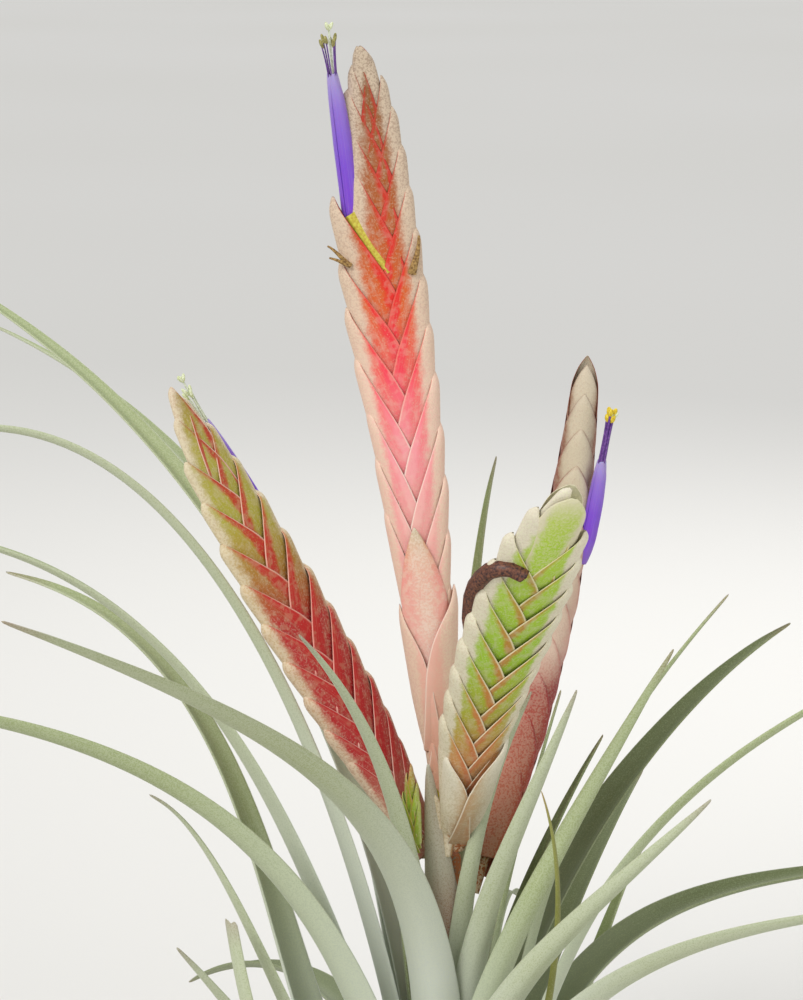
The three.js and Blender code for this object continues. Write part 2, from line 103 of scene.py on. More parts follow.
def blend(tree, factor, first, second):
    """Colour between first (factor 0) and second (factor 1)."""
    return node(tree, "Mix", {0: factor, 6: first, 7: second}, data_type="RGBA").outputs[2]


def ramp(tree, factor, stops):
    """Colour ramp with stops written as (place, web colour)."""
    made = node(tree, "ValToRGB", {0: factor})
    for i, (place, code) in enumerate(stops):
        element = made.color_ramp.elements[i] if i < 2 else made.color_ramp.elements.new(place)
        element.position = place
        element.color = colour(code)
    return made.outputs[0]


# %% [markdown]
# Where a pattern lies comes from one of two maps. Object coordinates are metres in the plant's own
# frame, the same for every piece. The UV map belongs to the piece: U runs from its foot to its
# tip, V from one margin to the other.

# %% Places for patterns
def in_object(tree):
    return node(tree, "TexCoord").outputs["Object"]


def along_across(tree):
    return node(tree, "SeparateXYZ", {0: node(tree, "TexCoord").outputs["UV"]}).outputs


def height_between(tree, low, high):
    """0 at the height low and 1 at high, both in mm."""
    z = node(tree, "SeparateXYZ", {0: in_object(tree)}).outputs[2]
    return rescale(tree, z, 0.0, 1.0, low * MM, high * MM)


def noise(tree, place, scale, detail, roughness=0.5):
    inputs = {"Vector": place, "Scale": scale, "Detail": detail, "Roughness": roughness}
    return node(tree, "TexNoise", inputs).outputs[0]


# %% Groups and materials
def shader_group(name, inputs, outputs):
    """An empty node group; inputs are (name, kind, value) and outputs are (name, kind)."""
    group = bpy.data.node_groups.new(name, "ShaderNodeTree")
    for label, kind, value in inputs:
        socket = group.interface.new_socket(label, in_out="INPUT", socket_type="NodeSocket" + kind)
        socket.default_value = value
    for label, kind in outputs:
        group.interface.new_socket(label, in_out="OUTPUT", socket_type="NodeSocket" + kind)
    return group, group.nodes.new("NodeGroupInput"), group.nodes.new("NodeGroupOutput")


def use_group(tree, group, inputs):
    return node(tree, "Group", inputs, node_tree=group).outputs


def new_material(name, roughness, **sockets):
    """A material, its tree and its Principled shader, with the even values set on the shader."""
    material = bpy.data.materials.new(name)
    material.use_nodes = True
    shader = material.node_tree.nodes["Principled BSDF"]
    shader.inputs["Roughness"].default_value = roughness
    for label, value in sockets.items():
        shader.inputs[label.replace("_", " ")].default_value = value
    return material, material.node_tree, shader


def finish_with(tree, shader, base, height, strength, distance):
    """Joins a colour and a height, as bump, to the shader."""
    tree.links.new(base, shader.inputs["Base Color"])
    bump = node(tree, "Bump", {"Height": height, "Strength": strength, "Distance": distance})
    tree.links.new(bump.outputs[0], shader.inputs["Normal"])


# %% [markdown]
# ## Shared effects
#
# The whole plant is covered in scurf: tiny pale scales that soak up water. They are dense on the
# keels of the bracts and thin out to specks on the leaves. A picture of scales would blur close up
# and show its seams. Noise in object coordinates does neither and has the same size everywhere,
# so one group makes the scales for every material: noise, cut off at a level that the density
# moves up and down.

# %% Scurf group
scurf, enter, leave = shader_group(
    "scurf",
    [("Density", "Float", 0.5), ("Scale", "Float", 900.0)],
    [("Mask", "Float"), ("Height", "Float")],
)
BARE, FULL = 0.72, 0.26  # noise level above which grains show, at density 0 and at density 1
grains = noise(scurf, in_object(scurf), enter.outputs["Scale"], 3.0, 0.65)
level = minus(scurf, BARE, times(scurf, enter.outputs["Density"], BARE - FULL))
above = minus(scurf, grains, level)
mask = soft_step(scurf, above, -0.05, 0.07)
scurf.links.new(mask, leave.inputs["Mask"])
scurf.links.new(times(scurf, mask, grains), leave.inputs["Height"])

# %% [markdown]
# Leaves and petals have fine lines that run from foot to tip. They could be cut into the mesh, but
# they are far finer than its faces. The group stretches noise on the UV map instead, with many
# steps across the piece and few along it, and so the lines follow every bend by themselves.

# %% Lengthwise lines group
lines, enter, leave = shader_group(
    "lengthwise lines",
    [("Across", "Float", 30.0), ("Along", "Float", 2.0)],
    [("Lines", "Float")],
)
uv = along_across(lines)
stretched = node(lines, "CombineXYZ", {
    0: times(lines, uv[0], enter.outputs["Along"]),
    1: times(lines, uv[1], enter.outputs["Across"]),
}).outputs[0]
lines.links.new(noise(lines, stretched, 1.0, 3.0), leave.inputs["Lines"])

# %% [markdown]
# A bract is coloured by where it lies on the spike. Near the middle of the spike the fresh tissue
# shows. A bright wedge follows each free margin: it is widest at the middle and runs out before
# it reaches the spike's edge. The keel, halfway between the margins, is grey with scurf, and the
# very rim of the margin is a thin pale line. The group works out how far the margin stands from
# the middle of the spike, and how far out the point itself is: 0 in the middle, 1 at the edge.
# Noise shifts both a little, since no such line on a plant is straight. The zones could be painted
# by hand for each bract; worked out from U and V, they fit all of them at once.

# %% Bract zones group
CROSSING = 0.42  # fraction of a bract's length at which its margins cross the spike's midline
MARGIN_SLOPE = 1.64  # how fast a margin then nears the edge
zones, enter, leave = shader_group(
    "bract zones",
    [("Width", "Float", 0.3), ("Reach", "Float", 0.65), ("Wobble", "Float", 0.1)],
    [("Out", "Float"), ("Wedge", "Float"), ("Rim", "Float")],
)
uv = along_across(zones)
off_keel = maths(zones, "ABSOLUTE", times(zones, minus(zones, uv[1], 0.5), 2))
margin = times(zones, minus(zones, uv[0], CROSSING), MARGIN_SLOPE)
roundness = maths(zones, "COSINE", times(zones, off_keel, math.pi / 2))
from_margin = times(zones, minus(zones, 1.0, margin), roundness)
wander = noise(zones, in_object(zones), 300.0, 5.0)
shift = times(zones, minus(zones, wander, 0.5), enter.outputs["Wobble"])
out = maths(zones, "ADD", maths(zones, "ADD", margin, from_margin), shift)
left_over = minus(zones, 1.0, maths(zones, "DIVIDE", margin, enter.outputs["Reach"]))
wide = times(zones, left_over, enter.outputs["Width"])
frayed = maths(zones, "ADD", wide, times(zones, shift, left_over))
within = minus(zones, frayed, from_margin)
zones.links.new(out, leave.inputs["Out"])
zones.links.new(soft_step(zones, within, -0.05, 0.12), leave.inputs["Wedge"])
zones.links.new(soft_step(zones, off_keel, 0.95, 0.98), leave.inputs["Rim"])
print("shader groups:", [g.name for g in bpy.data.node_groups])

# %% [markdown]
# ## Leaf finish
#
# A leaf is greener inside its channel and silvery outside, where the scales lie closer. Both
# sides use the same steps with other colours: a base that pales towards the foot and browns at
# the very tip, faint lengthwise lines, and scurf on top. One material could tell the sides apart
# by a mask, but Solidify gives the outer skin the next material by itself, so two are simpler.
# The dark finish is painted shade: darker copies of the green colours for the leaves at the
# back, where they lie in the shade of those in front.

# %% Leaf material
def leaf_material(name, foot, blade, tip, flecks, density):
    material, tree, shader = new_material(name, 0.62, Sheen_Weight=0.1, Sheen_Roughness=0.5)
    u = along_across(tree)[0]
    base = ramp(tree, u, [(0.0, foot), (0.22, foot), (0.55, blade), (0.93, blade), (1.0, tip)])
    ridges = use_group(tree, lines, {"Across": 26.0, "Along": 3.0})["Lines"]
    shade = soft_step(tree, ridges, 0.35, 0.75)
    base = blend(tree, times(tree, shade, 0.22), base, colour(foot))
    scales = use_group(tree, scurf, {"Density": density, "Scale": 2300.0})
    base = blend(tree, times(tree, scales["Mask"], 0.36), base, colour(flecks))
    height = maths(tree, "ADD", scales["Height"], ridges)
    finish_with(tree, shader, base, height, 0.25, 0.0002)
    return material


# %% Leaf colours
LEAF_COLOURS = {
    # finish: name, then foot, blade, tip, flecks and density of the scurf, inside and outside
    "green": ("leaf green",
              ("#b3bba4", "#8b9a5c", "#7c6a44", "#bcc59a", 0.42),
              ("#bfc5b4", "#97a36c", "#86734e", "#ccd2b2", 0.55)),
    "silver": ("leaf silver",
               ("#bcc3b2", "#98a470", "#7c6a44", "#c6cda6", 0.5),
               ("#c9cec4", "#a9b188", "#94866a", "#d6dac4", 0.6)),
    # dark: painted shade, darker copies of the green colours for the leaves at the back
    "dark": ("leaf painted shade",
             ("#8d9676", "#626c40", "#6a5a3a", "#98a274", 0.38),
             ("#9da588", "#707a4c", "#7a6a48", "#aab288", 0.5)),
    "tan tip": ("leaf tan",
                ("#bcc3b0", "#93a05f", "#9a7a5c", "#bfc798", 0.45),
                ("#c9cec2", "#a0a878", "#9a7e62", "#d2d6bc", 0.55)),
    "withered": ("withered",
                 ("#8f8a4a", "#8b8c44", "#a58a50", "#b0a878", 0.3),
                 ("#8f8a4a", "#86883f", "#a58a50", "#b5ad80", 0.3)),
    "stalk bract": ("stalk bract",
                    ("#a0654a", "#a99a80", "#a9b09a", "#cfc6b0", 0.45),
                    ("#a8705a", "#aaa38c", "#aeb39f", "#d6d2c0", 0.6)),
}
LEAF_FINISHES = {
    finish: [leaf_material(name + " inside", *inside), leaf_material(name + " outside", *outside)]
    for finish, (name, inside, outside) in LEAF_COLOURS.items()
}
print("leaf materials:", 2 * len(LEAF_FINISHES))

# %% [markdown]
# ## The leaf blank
#
# A tillandsia leaf is a tapering strip folded into a channel, with a wider sheath at the foot. A
# grid one unit long is enough: its lengthwise rows are raised towards the margins to make the
# channel, then each cross row is scaled to the width and depth it has on a leaf that is one unit
# wide. Each leaf could be modelled in its final bend, but a flat, straight blank is simple to
# shape, and copies of it give all 39 leaves the same build. The bend comes later.

# %% Reading a value between stations
def read(stations, s):
    """The value at s on a line drawn through (place, value) stations."""
    for (s0, v0), (s1, v1) in zip(stations, stations[1:]):
        if s <= s1:
            return v0 + (v1 - v0) * (s - s0) / (s1 - s0)
    return stations[-1][1]


# %% Selecting by place
def select_vertices(test):
    """In edit mode, selects the vertices whose place passes the test."""
    bpy.ops.mesh.select_all(action="DESELECT")
    mesh = bmesh.from_edit_mesh(bpy.context.object.data)
    for vertex in mesh.verts:
        vertex.select = test(vertex.co)
    mesh.select_flush_mode()
    bmesh.update_edit_mesh(bpy.context.object.data)


def select_flat_row(y):
    """The lengthwise row at y; rows that were lifted off the flat grid are left alone."""
    select_vertices(lambda co: abs(co.y - y) < 0.001 and abs(co.z) < 0.0001)


def select_column(x):
    select_vertices(lambda co: abs(co.x - x) < 0.001)


def only(obj):
    """Makes obj the one selected and active object."""
    bpy.ops.object.select_all(action="DESELECT")
    obj.select_set(True)
    bpy.context.view_layer.objects.active = obj
    return obj


# %% A flat strip to start from
def flat_strip(name, columns, rows):
    """A grid from X = 0 to 1 and one unit wide, left in edit mode."""
    bpy.ops.mesh.primitive_grid_add(
        x_subdivisions=columns, y_subdivisions=rows, size=1, location=(0.5, 0, 0))
    strip = bpy.context.object
    strip.name = name
    bpy.ops.object.transform_apply(location=True, rotation=False, scale=False)
    bpy.ops.object.mode_set(mode="EDIT")
    return strip


# %% Leaf blanks
LEAF_COLUMNS, LEAF_ROWS = 36, 8


def leaf_blank(name, chords, depths):
    blank = flat_strip(name, LEAF_COLUMNS, LEAF_ROWS)
    for row in range(LEAF_ROWS + 1):
        y = row / LEAF_ROWS - 0.5
        select_flat_row(y)
        bpy.ops.transform.translate(value=(0, 0, 4 * y * y))
    for column in range(LEAF_COLUMNS + 1):
        x = column / LEAF_COLUMNS
        select_column(x)
        bpy.ops.transform.resize(
            value=(1, read(chords, x), read(depths, x)), center_override=(x, 0, 0))
    bpy.ops.object.mode_set(mode="OBJECT")
    return blank


TORN_END = 0.44  # width of the torn end beside that of the leaf
blade_taper = [(0.12, 0.93), (0.3, 0.73), (0.55, 0.51), (0.8, 0.30), (0.94, 0.145), (1, 0.03)]
blade_depth = [(0.12, 0.24), (0.3, 0.22), (0.55, 0.152), (0.8, 0.078), (0.94, 0.035), (1, 0.006)]
BLANKS = {
    "spear": leaf_blank("spear blank", [(0, 0.9)] + blade_taper, [(0, 0.2)] + blade_depth),
    "arch": leaf_blank("arch blank", [(0, 1.24)] + blade_taper, [(0, 0.17)] + blade_depth),
    "torn": leaf_blank(
        "torn blank",
        [(0, 1.24), (0.12, 0.93), (0.3, 0.73), (0.6, 0.56), (1, TORN_END)],
        [(0, 0.17), (0.12, 0.24), (0.3, 0.22), (0.6, 0.16), (1, 0.1)],
    ),
}

# %% [markdown]
# The torn leaf ends in a ragged edge. It could be cut away from a whole leaf, which leaves an
# uneven mesh. Here the vertices of the last cross row are pushed along the blade by different
# amounts instead; a fixed seed gives the same tear at each run.

# %% Tear the end of the torn blank
chance = random.Random(7)
only(BLANKS["torn"])
bpy.ops.object.mode_set(mode="EDIT")
for row in range(LEAF_ROWS + 1):
    y = (row / LEAF_ROWS - 0.5) * TORN_END
    select_vertices(lambda co: co.x > 0.999 and abs(co.y - y) < 0.01)
    bpy.ops.transform.translate(value=(chance.uniform(-0.012, 0.016), 0, 0))
bpy.ops.object.mode_set(mode="OBJECT")
print("leaf blanks:", {name: len(blank.data.vertices) for name, blank in BLANKS.items()})

# %% [markdown]
# ## Growing a leaf
#
# Each leaf is a copy of a blank, scaled to the leaf's width and bent along a spine: a Bezier
# curve with two points, whose two handles say all that the sweep of a leaf needs. The Curve
# modifier stretches the strip over the whole spine and keeps its upper side turned to the stem.
# Solidify then gives the blade its thickness, with the outside finish on the new skin, and one
# level of subdivision rounds it. The petals are grown by the same function later on.

# %% Spines
def spine(points, tilt=0.0):
    """A two-point Bezier curve; points are the ends and the handles, in metres."""
    bpy.ops.curve.primitive_bezier_curve_add()
    made = bpy.context.object
    start, end = made.data.splines[0].bezier_points
    a, b, c, d = (Vector(p) for p in points)
    for point, here, before, after in ((start, a, 2 * a - b, b), (end, d, c, 2 * d - c)):
        point.handle_left_type = point.handle_right_type = "FREE"
        point.co, point.handle_left, point.handle_right = here, before, after
    end.tilt = tilt
    made.data.dimensions = "3D"
    made.data.twist_mode = "MINIMUM"
    made.data.resolution_u = 32
    made.data.use_stretch = True
    made.data.use_deform_bounds = True
    return made


def compass(degrees, radius, height):
    """A place by compass angle, distance from the stem's axis and height, all lengths in mm."""
    a = math.radians(degrees)
    return Vector((radius * math.cos(a), radius * math.sin(a), height)) * MM


# %% Copies, finishes and thickness
def copy_of(blank, name):
    made = blank.copy()
    made.data = blank.data.copy()
    made.name = made.data.name = name
    bpy.context.collection.objects.link(made)
    return only(made)


def paint(obj, materials):
    obj.data.materials.clear()
    for material in materials:
        obj.data.materials.append(material)


def add_modifier(obj, kind, **settings):
    """Adds a modifier and applies it at once."""
    only(obj)
    made = obj.modifiers.new(kind.title(), kind)
    for name, value in settings.items():
        setattr(made, name, value)
    bpy.ops.object.modifier_apply(modifier=made.name)


def skin(obj, thickness, offset=0.0, material_offset=0):
    add_modifier(
        obj, "SOLIDIFY", thickness=thickness, offset=offset, use_even_offset=False,
        material_offset=material_offset, material_offset_rim=material_offset)
    add_modifier(obj, "SUBSURF", levels=1, render_levels=1)
    bpy.ops.object.shade_smooth()


# %% One leaf
def grow(name, blank, points, width, thickness, finishes, tilt=0.0, turn=0.0):
    """width and thickness are in mm; turn rolls the blank about its length before the bend."""
    leaf = copy_of(blank, name)
    leaf.rotation_euler = (turn, 0, 0)
    leaf.scale = (1, width * MM, width * MM)
    bpy.ops.object.transform_apply(location=False, rotation=True, scale=True)
    bend = spine(points, tilt)
    add_modifier(leaf, "CURVE", object=bend, deform_axis="POS_X")
    bpy.data.objects.remove(bend)
    paint(leaf, finishes)
    skin(leaf, thickness * MM, 0.0, len(finishes) - 1)
    return leaf


def spine_points(leaves_at, ends_at, foot, near, far, tip):
    """Four places, each of a distance from the axis and a height, at angles that shift evenly."""
    return [
        compass(leaves_at, *foot),
        compass(leaves_at, *near),
        compass((leaves_at + ends_at) / 2, *far),
        compass(ends_at, *tip),
    ]


# %% [markdown]
# ## The leaves
#
# The table lists them from the innermost to the outermost. Each leaves the stem at one compass
# angle (0 is +X, turning to +Y) and ends at another; "near" and "far" are the handles of its
# spine and "tip" its end, as distance from the stem's axis and height. The feet follow the
# stem's slope down, which is how a rosette grows: the oldest leaves are lowest and widest apart.
# Chance could scatter them, but each leaf that the photo shows has its own place, and the others
# are laid out like them.

# %% Leaf table
LEAVES = [
    # name, from, to, near, far, tip, width, finish
    ("stalk_side_spear", 275, 327, (12, 113), (11, 150), (29, 190), 11, "silver"),
    ("back_spear", 72, 75, (15, 125), (11, 212), (61, 247), 10, "green"),
    ("short_spear", 165, 160, (11, 75), (15, 100), (17, 132), 11, "green"),
    ("thin_spear", -8, -5, (10, 93), (19, 131), (34, 187), 8, "green"),
    ("red_side_spear", 234, 232, (13, 95), (12, 162), (71, 218), 13, "silver"),
    ("high_arch_a", 126, 146, (19, 131), (82, 258), (218, 303), 14, "silver"),
    ("dark_spear", 36, 8, (14, 85), (26, 125), (48, 170), 11, "dark"),
    ("pale_spear", 287, 316, (16, 120), (26, 127), (51, 196), 15, "silver"),
    ("long_arch_a", 188, 166, (26, 135), (70, 299), (180, 253), 18, "silver"),
    ("broad_back", 50, 41, (22, 94), (89, 160), (155, 181), 20, "dark"),
    ("front_arch", 261, 238, (25, 133), (22, 163), (210, 253), 18, "tan tip"),
    ("high_arch_b", 131, 130, (32, 116), (38, 245), (265, 270), 14, "silver"),
    ("needle", -81, -16, (31, 92), (23, 112), (69, 204), 13, "green"),
    ("dark_upright", 104, 126, (29, 95), (45, 130), (69, 178), 16, "dark"),
    ("long_arch_b", 202, 192, (42, 109), (65, 253), (188, 243), 18, "silver"),
    ("right_spear", -9, -8, (27, 93), (20, 139), (84, 219), 12, "green"),
    ("pale_blade", 276, 317, (33, 99), (65, 124), (100, 173), 16, "silver"),
    ("back_arch_a", 78, 80, (32, 68), (80, 105), (170, 60), 18, "dark"),
    ("low_arch", 226, 200, (44, 107), (54, 195), (226, 205), 18, "green"),
    ("right_arch", -14, 2, (37, 99), (40, 157), (164, 204), 15, "green"),
    ("withered_strip", 314, 305, (44, 74), (60, 135), (46, 166), 6, "withered"),
    ("right_low_a", 29, 25, (49, 99), (62, 115), (192, 104), 19, "dark"),
    ("back_arch_b", 132, 120, (30, 75), (85, 84), (185, 30), 18, "dark"),
    ("low_arch_b", 200, 198, (51, 58), (67, 148), (94, 162), 17, "silver"),
    ("right_low_b", -64, -50, (44, 66), (44, 122), (194, 170), 17, "silver"),
    ("back_arch_c", 60, 62, (46, 58), (98, 102), (150, 120), 16, "dark"),
    ("mid_arch", 152, 165, (77, 53), (45, 197), (144, 214), 20, "silver"),
    ("front_blade", 242, 238, (61, 45), (92, 95), (141, 148), 15, "silver"),
    ("right_low_c", 2, -8, (50, 46), (98, 86), (178, 84), 17, "green"),
    ("ground_back", 98, 98, (52, 42), (105, 60), (182, 0.3), 17, "green"),
    ("torn_blade", 214, 206, (60, 38), (70, 82), (74, 125), 15, "silver"),
    ("ground_front", 287, 283, (50, 40), (95, 57), (160, 0.3), 17, "green"),
    ("curved_blade", 36, 35, (52, 51), (61, 102), (79, 123), 15, "green"),
    ("left_low", 176, 196, (56, 38), (112, 92), (205, 62), 18, "green"),
    ("ground_front_right", 328, 326, (54, 36), (100, 56), (172, 0.3), 17, "green"),
    ("ground_back_right", 72, 66, (54, 34), (105, 55), (178, 0.3), 17, "green"),
    ("ground_left", 212, 214, (56, 32), (110, 52), (186, 0.3), 17, "green"),
    ("ground_back_left", 140, 146, (56, 31), (105, 54), (185, 0.3), 17, "green"),
    ("ground_front_left", 258, 256, (56, 30), (95, 52), (165, 0.3), 17, "green"),
]
STEM_SLOPE = [(0, 20), (5, 19.5), (24, 13), (44, 5.5)]
TOP_FOOT, LOWEST_FOOT = 42, 7
CLEARANCE = 1.35  # from the stem's surface to the middle of a leaf's foot
INNER_SPEARS = 9
TWIST = 0.25  # radians, the most that a leaf's tip is turned either way

# %% [markdown]
# A finished piece is handed over to the frame. It rides on a body, and a plant without joints has
# only the one; and it takes the place of a CAD node.

# %% Hand pieces over to the frame
def hand_over(pieces, node_name):
    for piece in pieces:
        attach(piece, "root")
        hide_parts(node_name)


# %% Grow the leaves
for rank, (name, leaves_at, ends_at, near, far, tip, width, finish) in enumerate(LEAVES):
    height = TOP_FOOT - (TOP_FOOT - LOWEST_FOOT) * rank / (len(LEAVES) - 1)
    foot = (read(STEM_SLOPE, height) + CLEARANCE, height)
    points = spine_points(leaves_at, ends_at, foot, near, far, tip)
    kind = "torn" if name == "torn_blade" else "spear" if rank < INNER_SPEARS else "arch"
    twist = chance.uniform(-TWIST, TWIST)
    thickness = 0.5 if finish == "withered" else 0.8
    leaf = grow("leaf_" + name, BLANKS[kind], points, width, thickness,
                LEAF_FINISHES[finish], twist)
    hand_over([leaf], "leaf_" + name)
print("leaves grown:", len(LEAVES))

# %% [markdown]
# ## Bracts on the stalk
#
# Three leaf-like bracts clasp the stalk below the spikes. They are leaves on a small scale with a
# pinkish foot, so the same function grows them.

# %% Stalk bracts
STALK_BRACTS = [
    ("stalk_bract_top", 128, 120, (5.2, 112), (6.4, 120), (7.2, 128), (8.4, 138), 9),
    ("stalk_bract_front", 262, 240, (5.6, 92), (9, 112), (11, 132), (13, 166), 17),
    ("stalk_bract_back", 60, 55, (5.4, 80), (6.4, 92), (8, 102), (11, 112), 12),
]
for name, leaves_at, ends_at, foot, near, far, tip, width in STALK_BRACTS:
    points = spine_points(leaves_at, ends_at, foot, near, far, tip)
    bract = grow(name, BLANKS["spear"], points, width, 0.6, LEAF_FINISHES["stalk bract"])
    hand_over([bract], name)
print("stalk bracts:", len(STALK_BRACTS))

# %% [markdown]
# ## Bract finishes
#
# All spikes share one recipe and differ in their colours. The middle, the wedge and the keel each
# take a colour that changes with height on the spike, from a ramp over the object's Z. Grey hides
# the fresh colour more and more towards the keel, and also lies over it in soft patches and thin
# lengthwise lines. Small dots of the fresh colour break through the grey, and grains of scurf lie
# on top of it all, sparse on fresh tissue and dense on the keel. The wedges narrow to half over
# the upper part of a spike, where the bracts are youngest.

# %% Bract material
GRAIN_SCALE = 1500.0


def bract_material(name, low, high, middle, wedge, keel, rim, grains, width, reach, cover,
                   blotch=0.25, dust=0.5):
    """low and high are the spike's ends in mm. cover is how far out the grey starts and where it
    is full, blotch how strong its patches are and dust how strong the grains on the keel."""
    material, tree, shader = new_material(name, 0.6, Sheen_Weight=0.05, Sheen_Roughness=0.5)
    up = height_between(tree, low, high)
    narrowing = rescale(tree, up, width, width * 0.5, start=0.6)
    zone = use_group(tree, zones, {"Width": narrowing, "Reach": reach, "Wobble": 0.3})
    fresh, grey = ramp(tree, up, middle), ramp(tree, up, keel)
    covered = soft_step(tree, zone["Out"], *cover)
    base = blend(tree, covered, fresh, grey)
    base = blend(tree, zone["Wedge"], base, ramp(tree, up, wedge))
    patches = soft_step(tree, noise(tree, in_object(tree), 420.0, 4.0), 0.48, 0.64)
    base = blend(tree, times(tree, patches, blotch), base, grey)
    ridges = use_group(tree, lines, {"Across": 40.0, "Along": 2.0})["Lines"]
    base = blend(tree, times(tree, soft_step(tree, ridges, 0.45, 0.75), 0.25), base, grey)
    dots = use_group(tree, scurf, {"Density": 0.34, "Scale": GRAIN_SCALE})["Mask"]
    base = blend(tree, times(tree, dots, 0.3), base, fresh)
    density = minus(tree, rescale(tree, covered, 0.36, 0.56), times(tree, zone["Wedge"], 0.2))
    scales = use_group(tree, scurf, {"Density": density, "Scale": GRAIN_SCALE})
    seen = times(tree, scales["Mask"], rescale(tree, covered, 0.2, dust))
    base = blend(tree, seen, base, colour(grains))
    base = blend(tree, times(tree, zone["Rim"], 0.8), base, ramp(tree, up, rim))
    finish_with(tree, shader, base, scales["Height"], 0.35, 0.0003)
    return material


# %% [markdown]
# Eight finishes cover the plant's bracts: one for each of the five spikes, and three for bracts
# that differ from their neighbours. These are the clasping one in front of the main spike, and the
# lime green end and the beige cup of the front spike.

# %% Bract colours
BRACT_FINISHES = {
    "main_spike": bract_material(
        "coral bract", 135, 380,
        middle=[(0, "#c98a66"), (0.2, "#e8b4a0"), (0.4, "#f2a8a2"), (0.5, "#f48a90"),
                (0.6, "#f0605c"), (0.69, "#d85a18"), (0.82, "#a85006"), (1, "#6e4a10")],
        wedge=[(0, "#c8906e"), (0.2, "#ecb8a6"), (0.42, "#f4b6ae"), (0.52, "#f698a0"),
               (0.61, "#f23c50"), (0.7, "#e0180c"), (0.85, "#c02406"), (1, "#983410")],
        keel=[(0, "#b6946e"), (0.15, "#dcc0a8"), (0.4, "#eebfae"), (0.58, "#ecc3b0"),
              (0.72, "#ceb098"), (1, "#a8927c")],
        rim=[(0, "#f0dcc8"), (0.5, "#fae0d2"), (0.63, "#f27c6c"), (0.75, "#d83c28"),
             (1, "#b03020")],
        grains="#e8d6ba", width=0.32, reach=0.72, cover=(0.46, 0.74), blotch=0.24),
    "clasp": bract_material(
        "clasping bract", 186, 238,
        middle=[(0, "#eebcae"), (0.7, "#ee9c90"), (0.9, "#dca07c"), (1, "#b8b08a")],
        wedge=[(0, "#f2c8ba"), (0.7, "#f09488"), (1, "#c0b090")],
        keel=[(0, "#f0cabc"), (0.8, "#ecc0a8"), (1, "#c8bc9c")],
        rim=[(0, "#fae4d6"), (1, "#e0d4b8")],
        grains="#f4e6d8", width=0.25, reach=0.9, cover=(0.8, 1.1), blotch=0.7),
    "cup": bract_material(
        "beige cup bract", 138, 172,
        middle=[(0, "#b8906c"), (0.5, "#c8a880"), (1, "#ccb896")],
        wedge=[(0, "#b88864"), (1, "#c8a070")],
        keel=[(0, "#c0a07c"), (0.4, "#d0c0a0"), (1, "#dcd4bc")],
        rim=[(0, "#e8dcc4"), (1, "#f0e8d4")],
        grains="#ece4d2", width=0.2, reach=0.9, cover=(0.3, 0.8), blotch=0.6),
    "left_spike": bract_material(
        "scarlet bract", 150, 285,
        middle=[(0, "#b87862"), (0.12, "#b01018"), (0.45, "#b41012"), (0.56, "#a87420"),
                (0.68, "#aca42e"), (0.85, "#a89c38"), (1, "#96782e")],
        wedge=[(0, "#b8685a"), (0.12, "#b40a14"), (0.5, "#c01812"), (0.7, "#bc3414"),
               (1, "#a83418")],
        keel=[(0, "#c8a28b"), (0.25, "#c8a482"), (0.5, "#ccb48a"), (0.8, "#ccbc98"),
              (1, "#cfb49a")],
        rim=[(0, "#ecc8b8"), (0.4, "#f0a494"), (0.7, "#f0ccb0"), (1, "#e6ccb4")],
        grains="#e8dcc0", width=0.4, reach=0.95, cover=(0.72, 0.98)),
    "front_spike": bract_material(
        "lime bract", 150, 265,
        middle=[(0, "#c8905c"), (0.2, "#c88a48"), (0.34, "#a8a82a"), (0.5, "#98be18"),
                (1, "#b2cc3c")],
        wedge=[(0, "#c47a52"), (0.25, "#c8743c"), (0.45, "#bc7c2c"), (0.7, "#b08a2c"),
               (1, "#b8b040")],
        keel=[(0, "#c8b490"), (0.3, "#d2c6a6"), (1, "#dcd2ba")],
        rim=[(0, "#f0e6cc"), (0.5, "#ece4bc"), (1, "#e0e0a8")],
        grains="#ece4d0", width=0.24, reach=0.8, cover=(0.6, 0.76)),
    "lime end": bract_material(
        "lime end bract", 225, 265,
        middle=[(0, "#c8b88c"), (0.5, "#d6ccac"), (1, "#dcd4b8")],
        wedge=[(0, "#c8a878"), (1, "#dcd4b8")],
        keel=[(0, "#a0c020"), (0.5, "#a8c828"), (0.72, "#b8cc50"), (0.88, "#d8d2a8"),
              (1, "#dcd6b8")],
        rim=[(0, "#e0d4b0"), (1, "#e8e0c4")],
        grains="#e4e0c0", width=0.2, reach=0.9, cover=(0.78, 0.96), blotch=0.1, dust=0.22),
    "rear_spike": bract_material(
        "cream bract", 130, 285,
        middle=[(0, "#b4502e"), (0.2, "#b03a2c"), (0.34, "#982a2c"), (0.42, "#d8a898"),
                (0.62, "#ccac94"), (0.75, "#8a4a30"), (1, "#8a5c3c")],
        wedge=[(0, "#b04a30"), (0.2, "#a8281e"), (0.34, "#9c1c22"), (0.42, "#cc8c7c"),
               (0.62, "#b8806a"), (0.75, "#8c3420"), (1, "#84402a")],
        keel=[(0, "#bc7050"), (0.2, "#b8604a"), (0.34, "#a8483e"), (0.42, "#d4b4a2"),
              (0.7, "#c2b498"), (1, "#c8baa2")],
        rim=[(0, "#e0b09c"), (0.4, "#dca890"), (0.52, "#8c3a24"), (1, "#9a5038")],
        grains="#ddd2ba", width=0.34, reach=1.4, cover=(0.5, 0.9), dust=0.24),
    "young_spike": bract_material(
        "young bract", 138, 168,
        middle=[(0, "#8fa030"), (0.6, "#9cbc28"), (1, "#c0602a")],
        wedge=[(0, "#a8a83a"), (0.5, "#b8b030"), (0.8, "#d07030"), (1, "#c84a24")],
        keel=[(0, "#b4c060"), (0.6, "#b0c848"), (1, "#c87a4a")],
        rim=[(0, "#e4dca8"), (1, "#e0a080")],
        grains="#d8d8a0", width=0.3, reach=0.7, cover=(0.5, 0.9)),
}
print("bract materials:", len(BRACT_FINISHES))

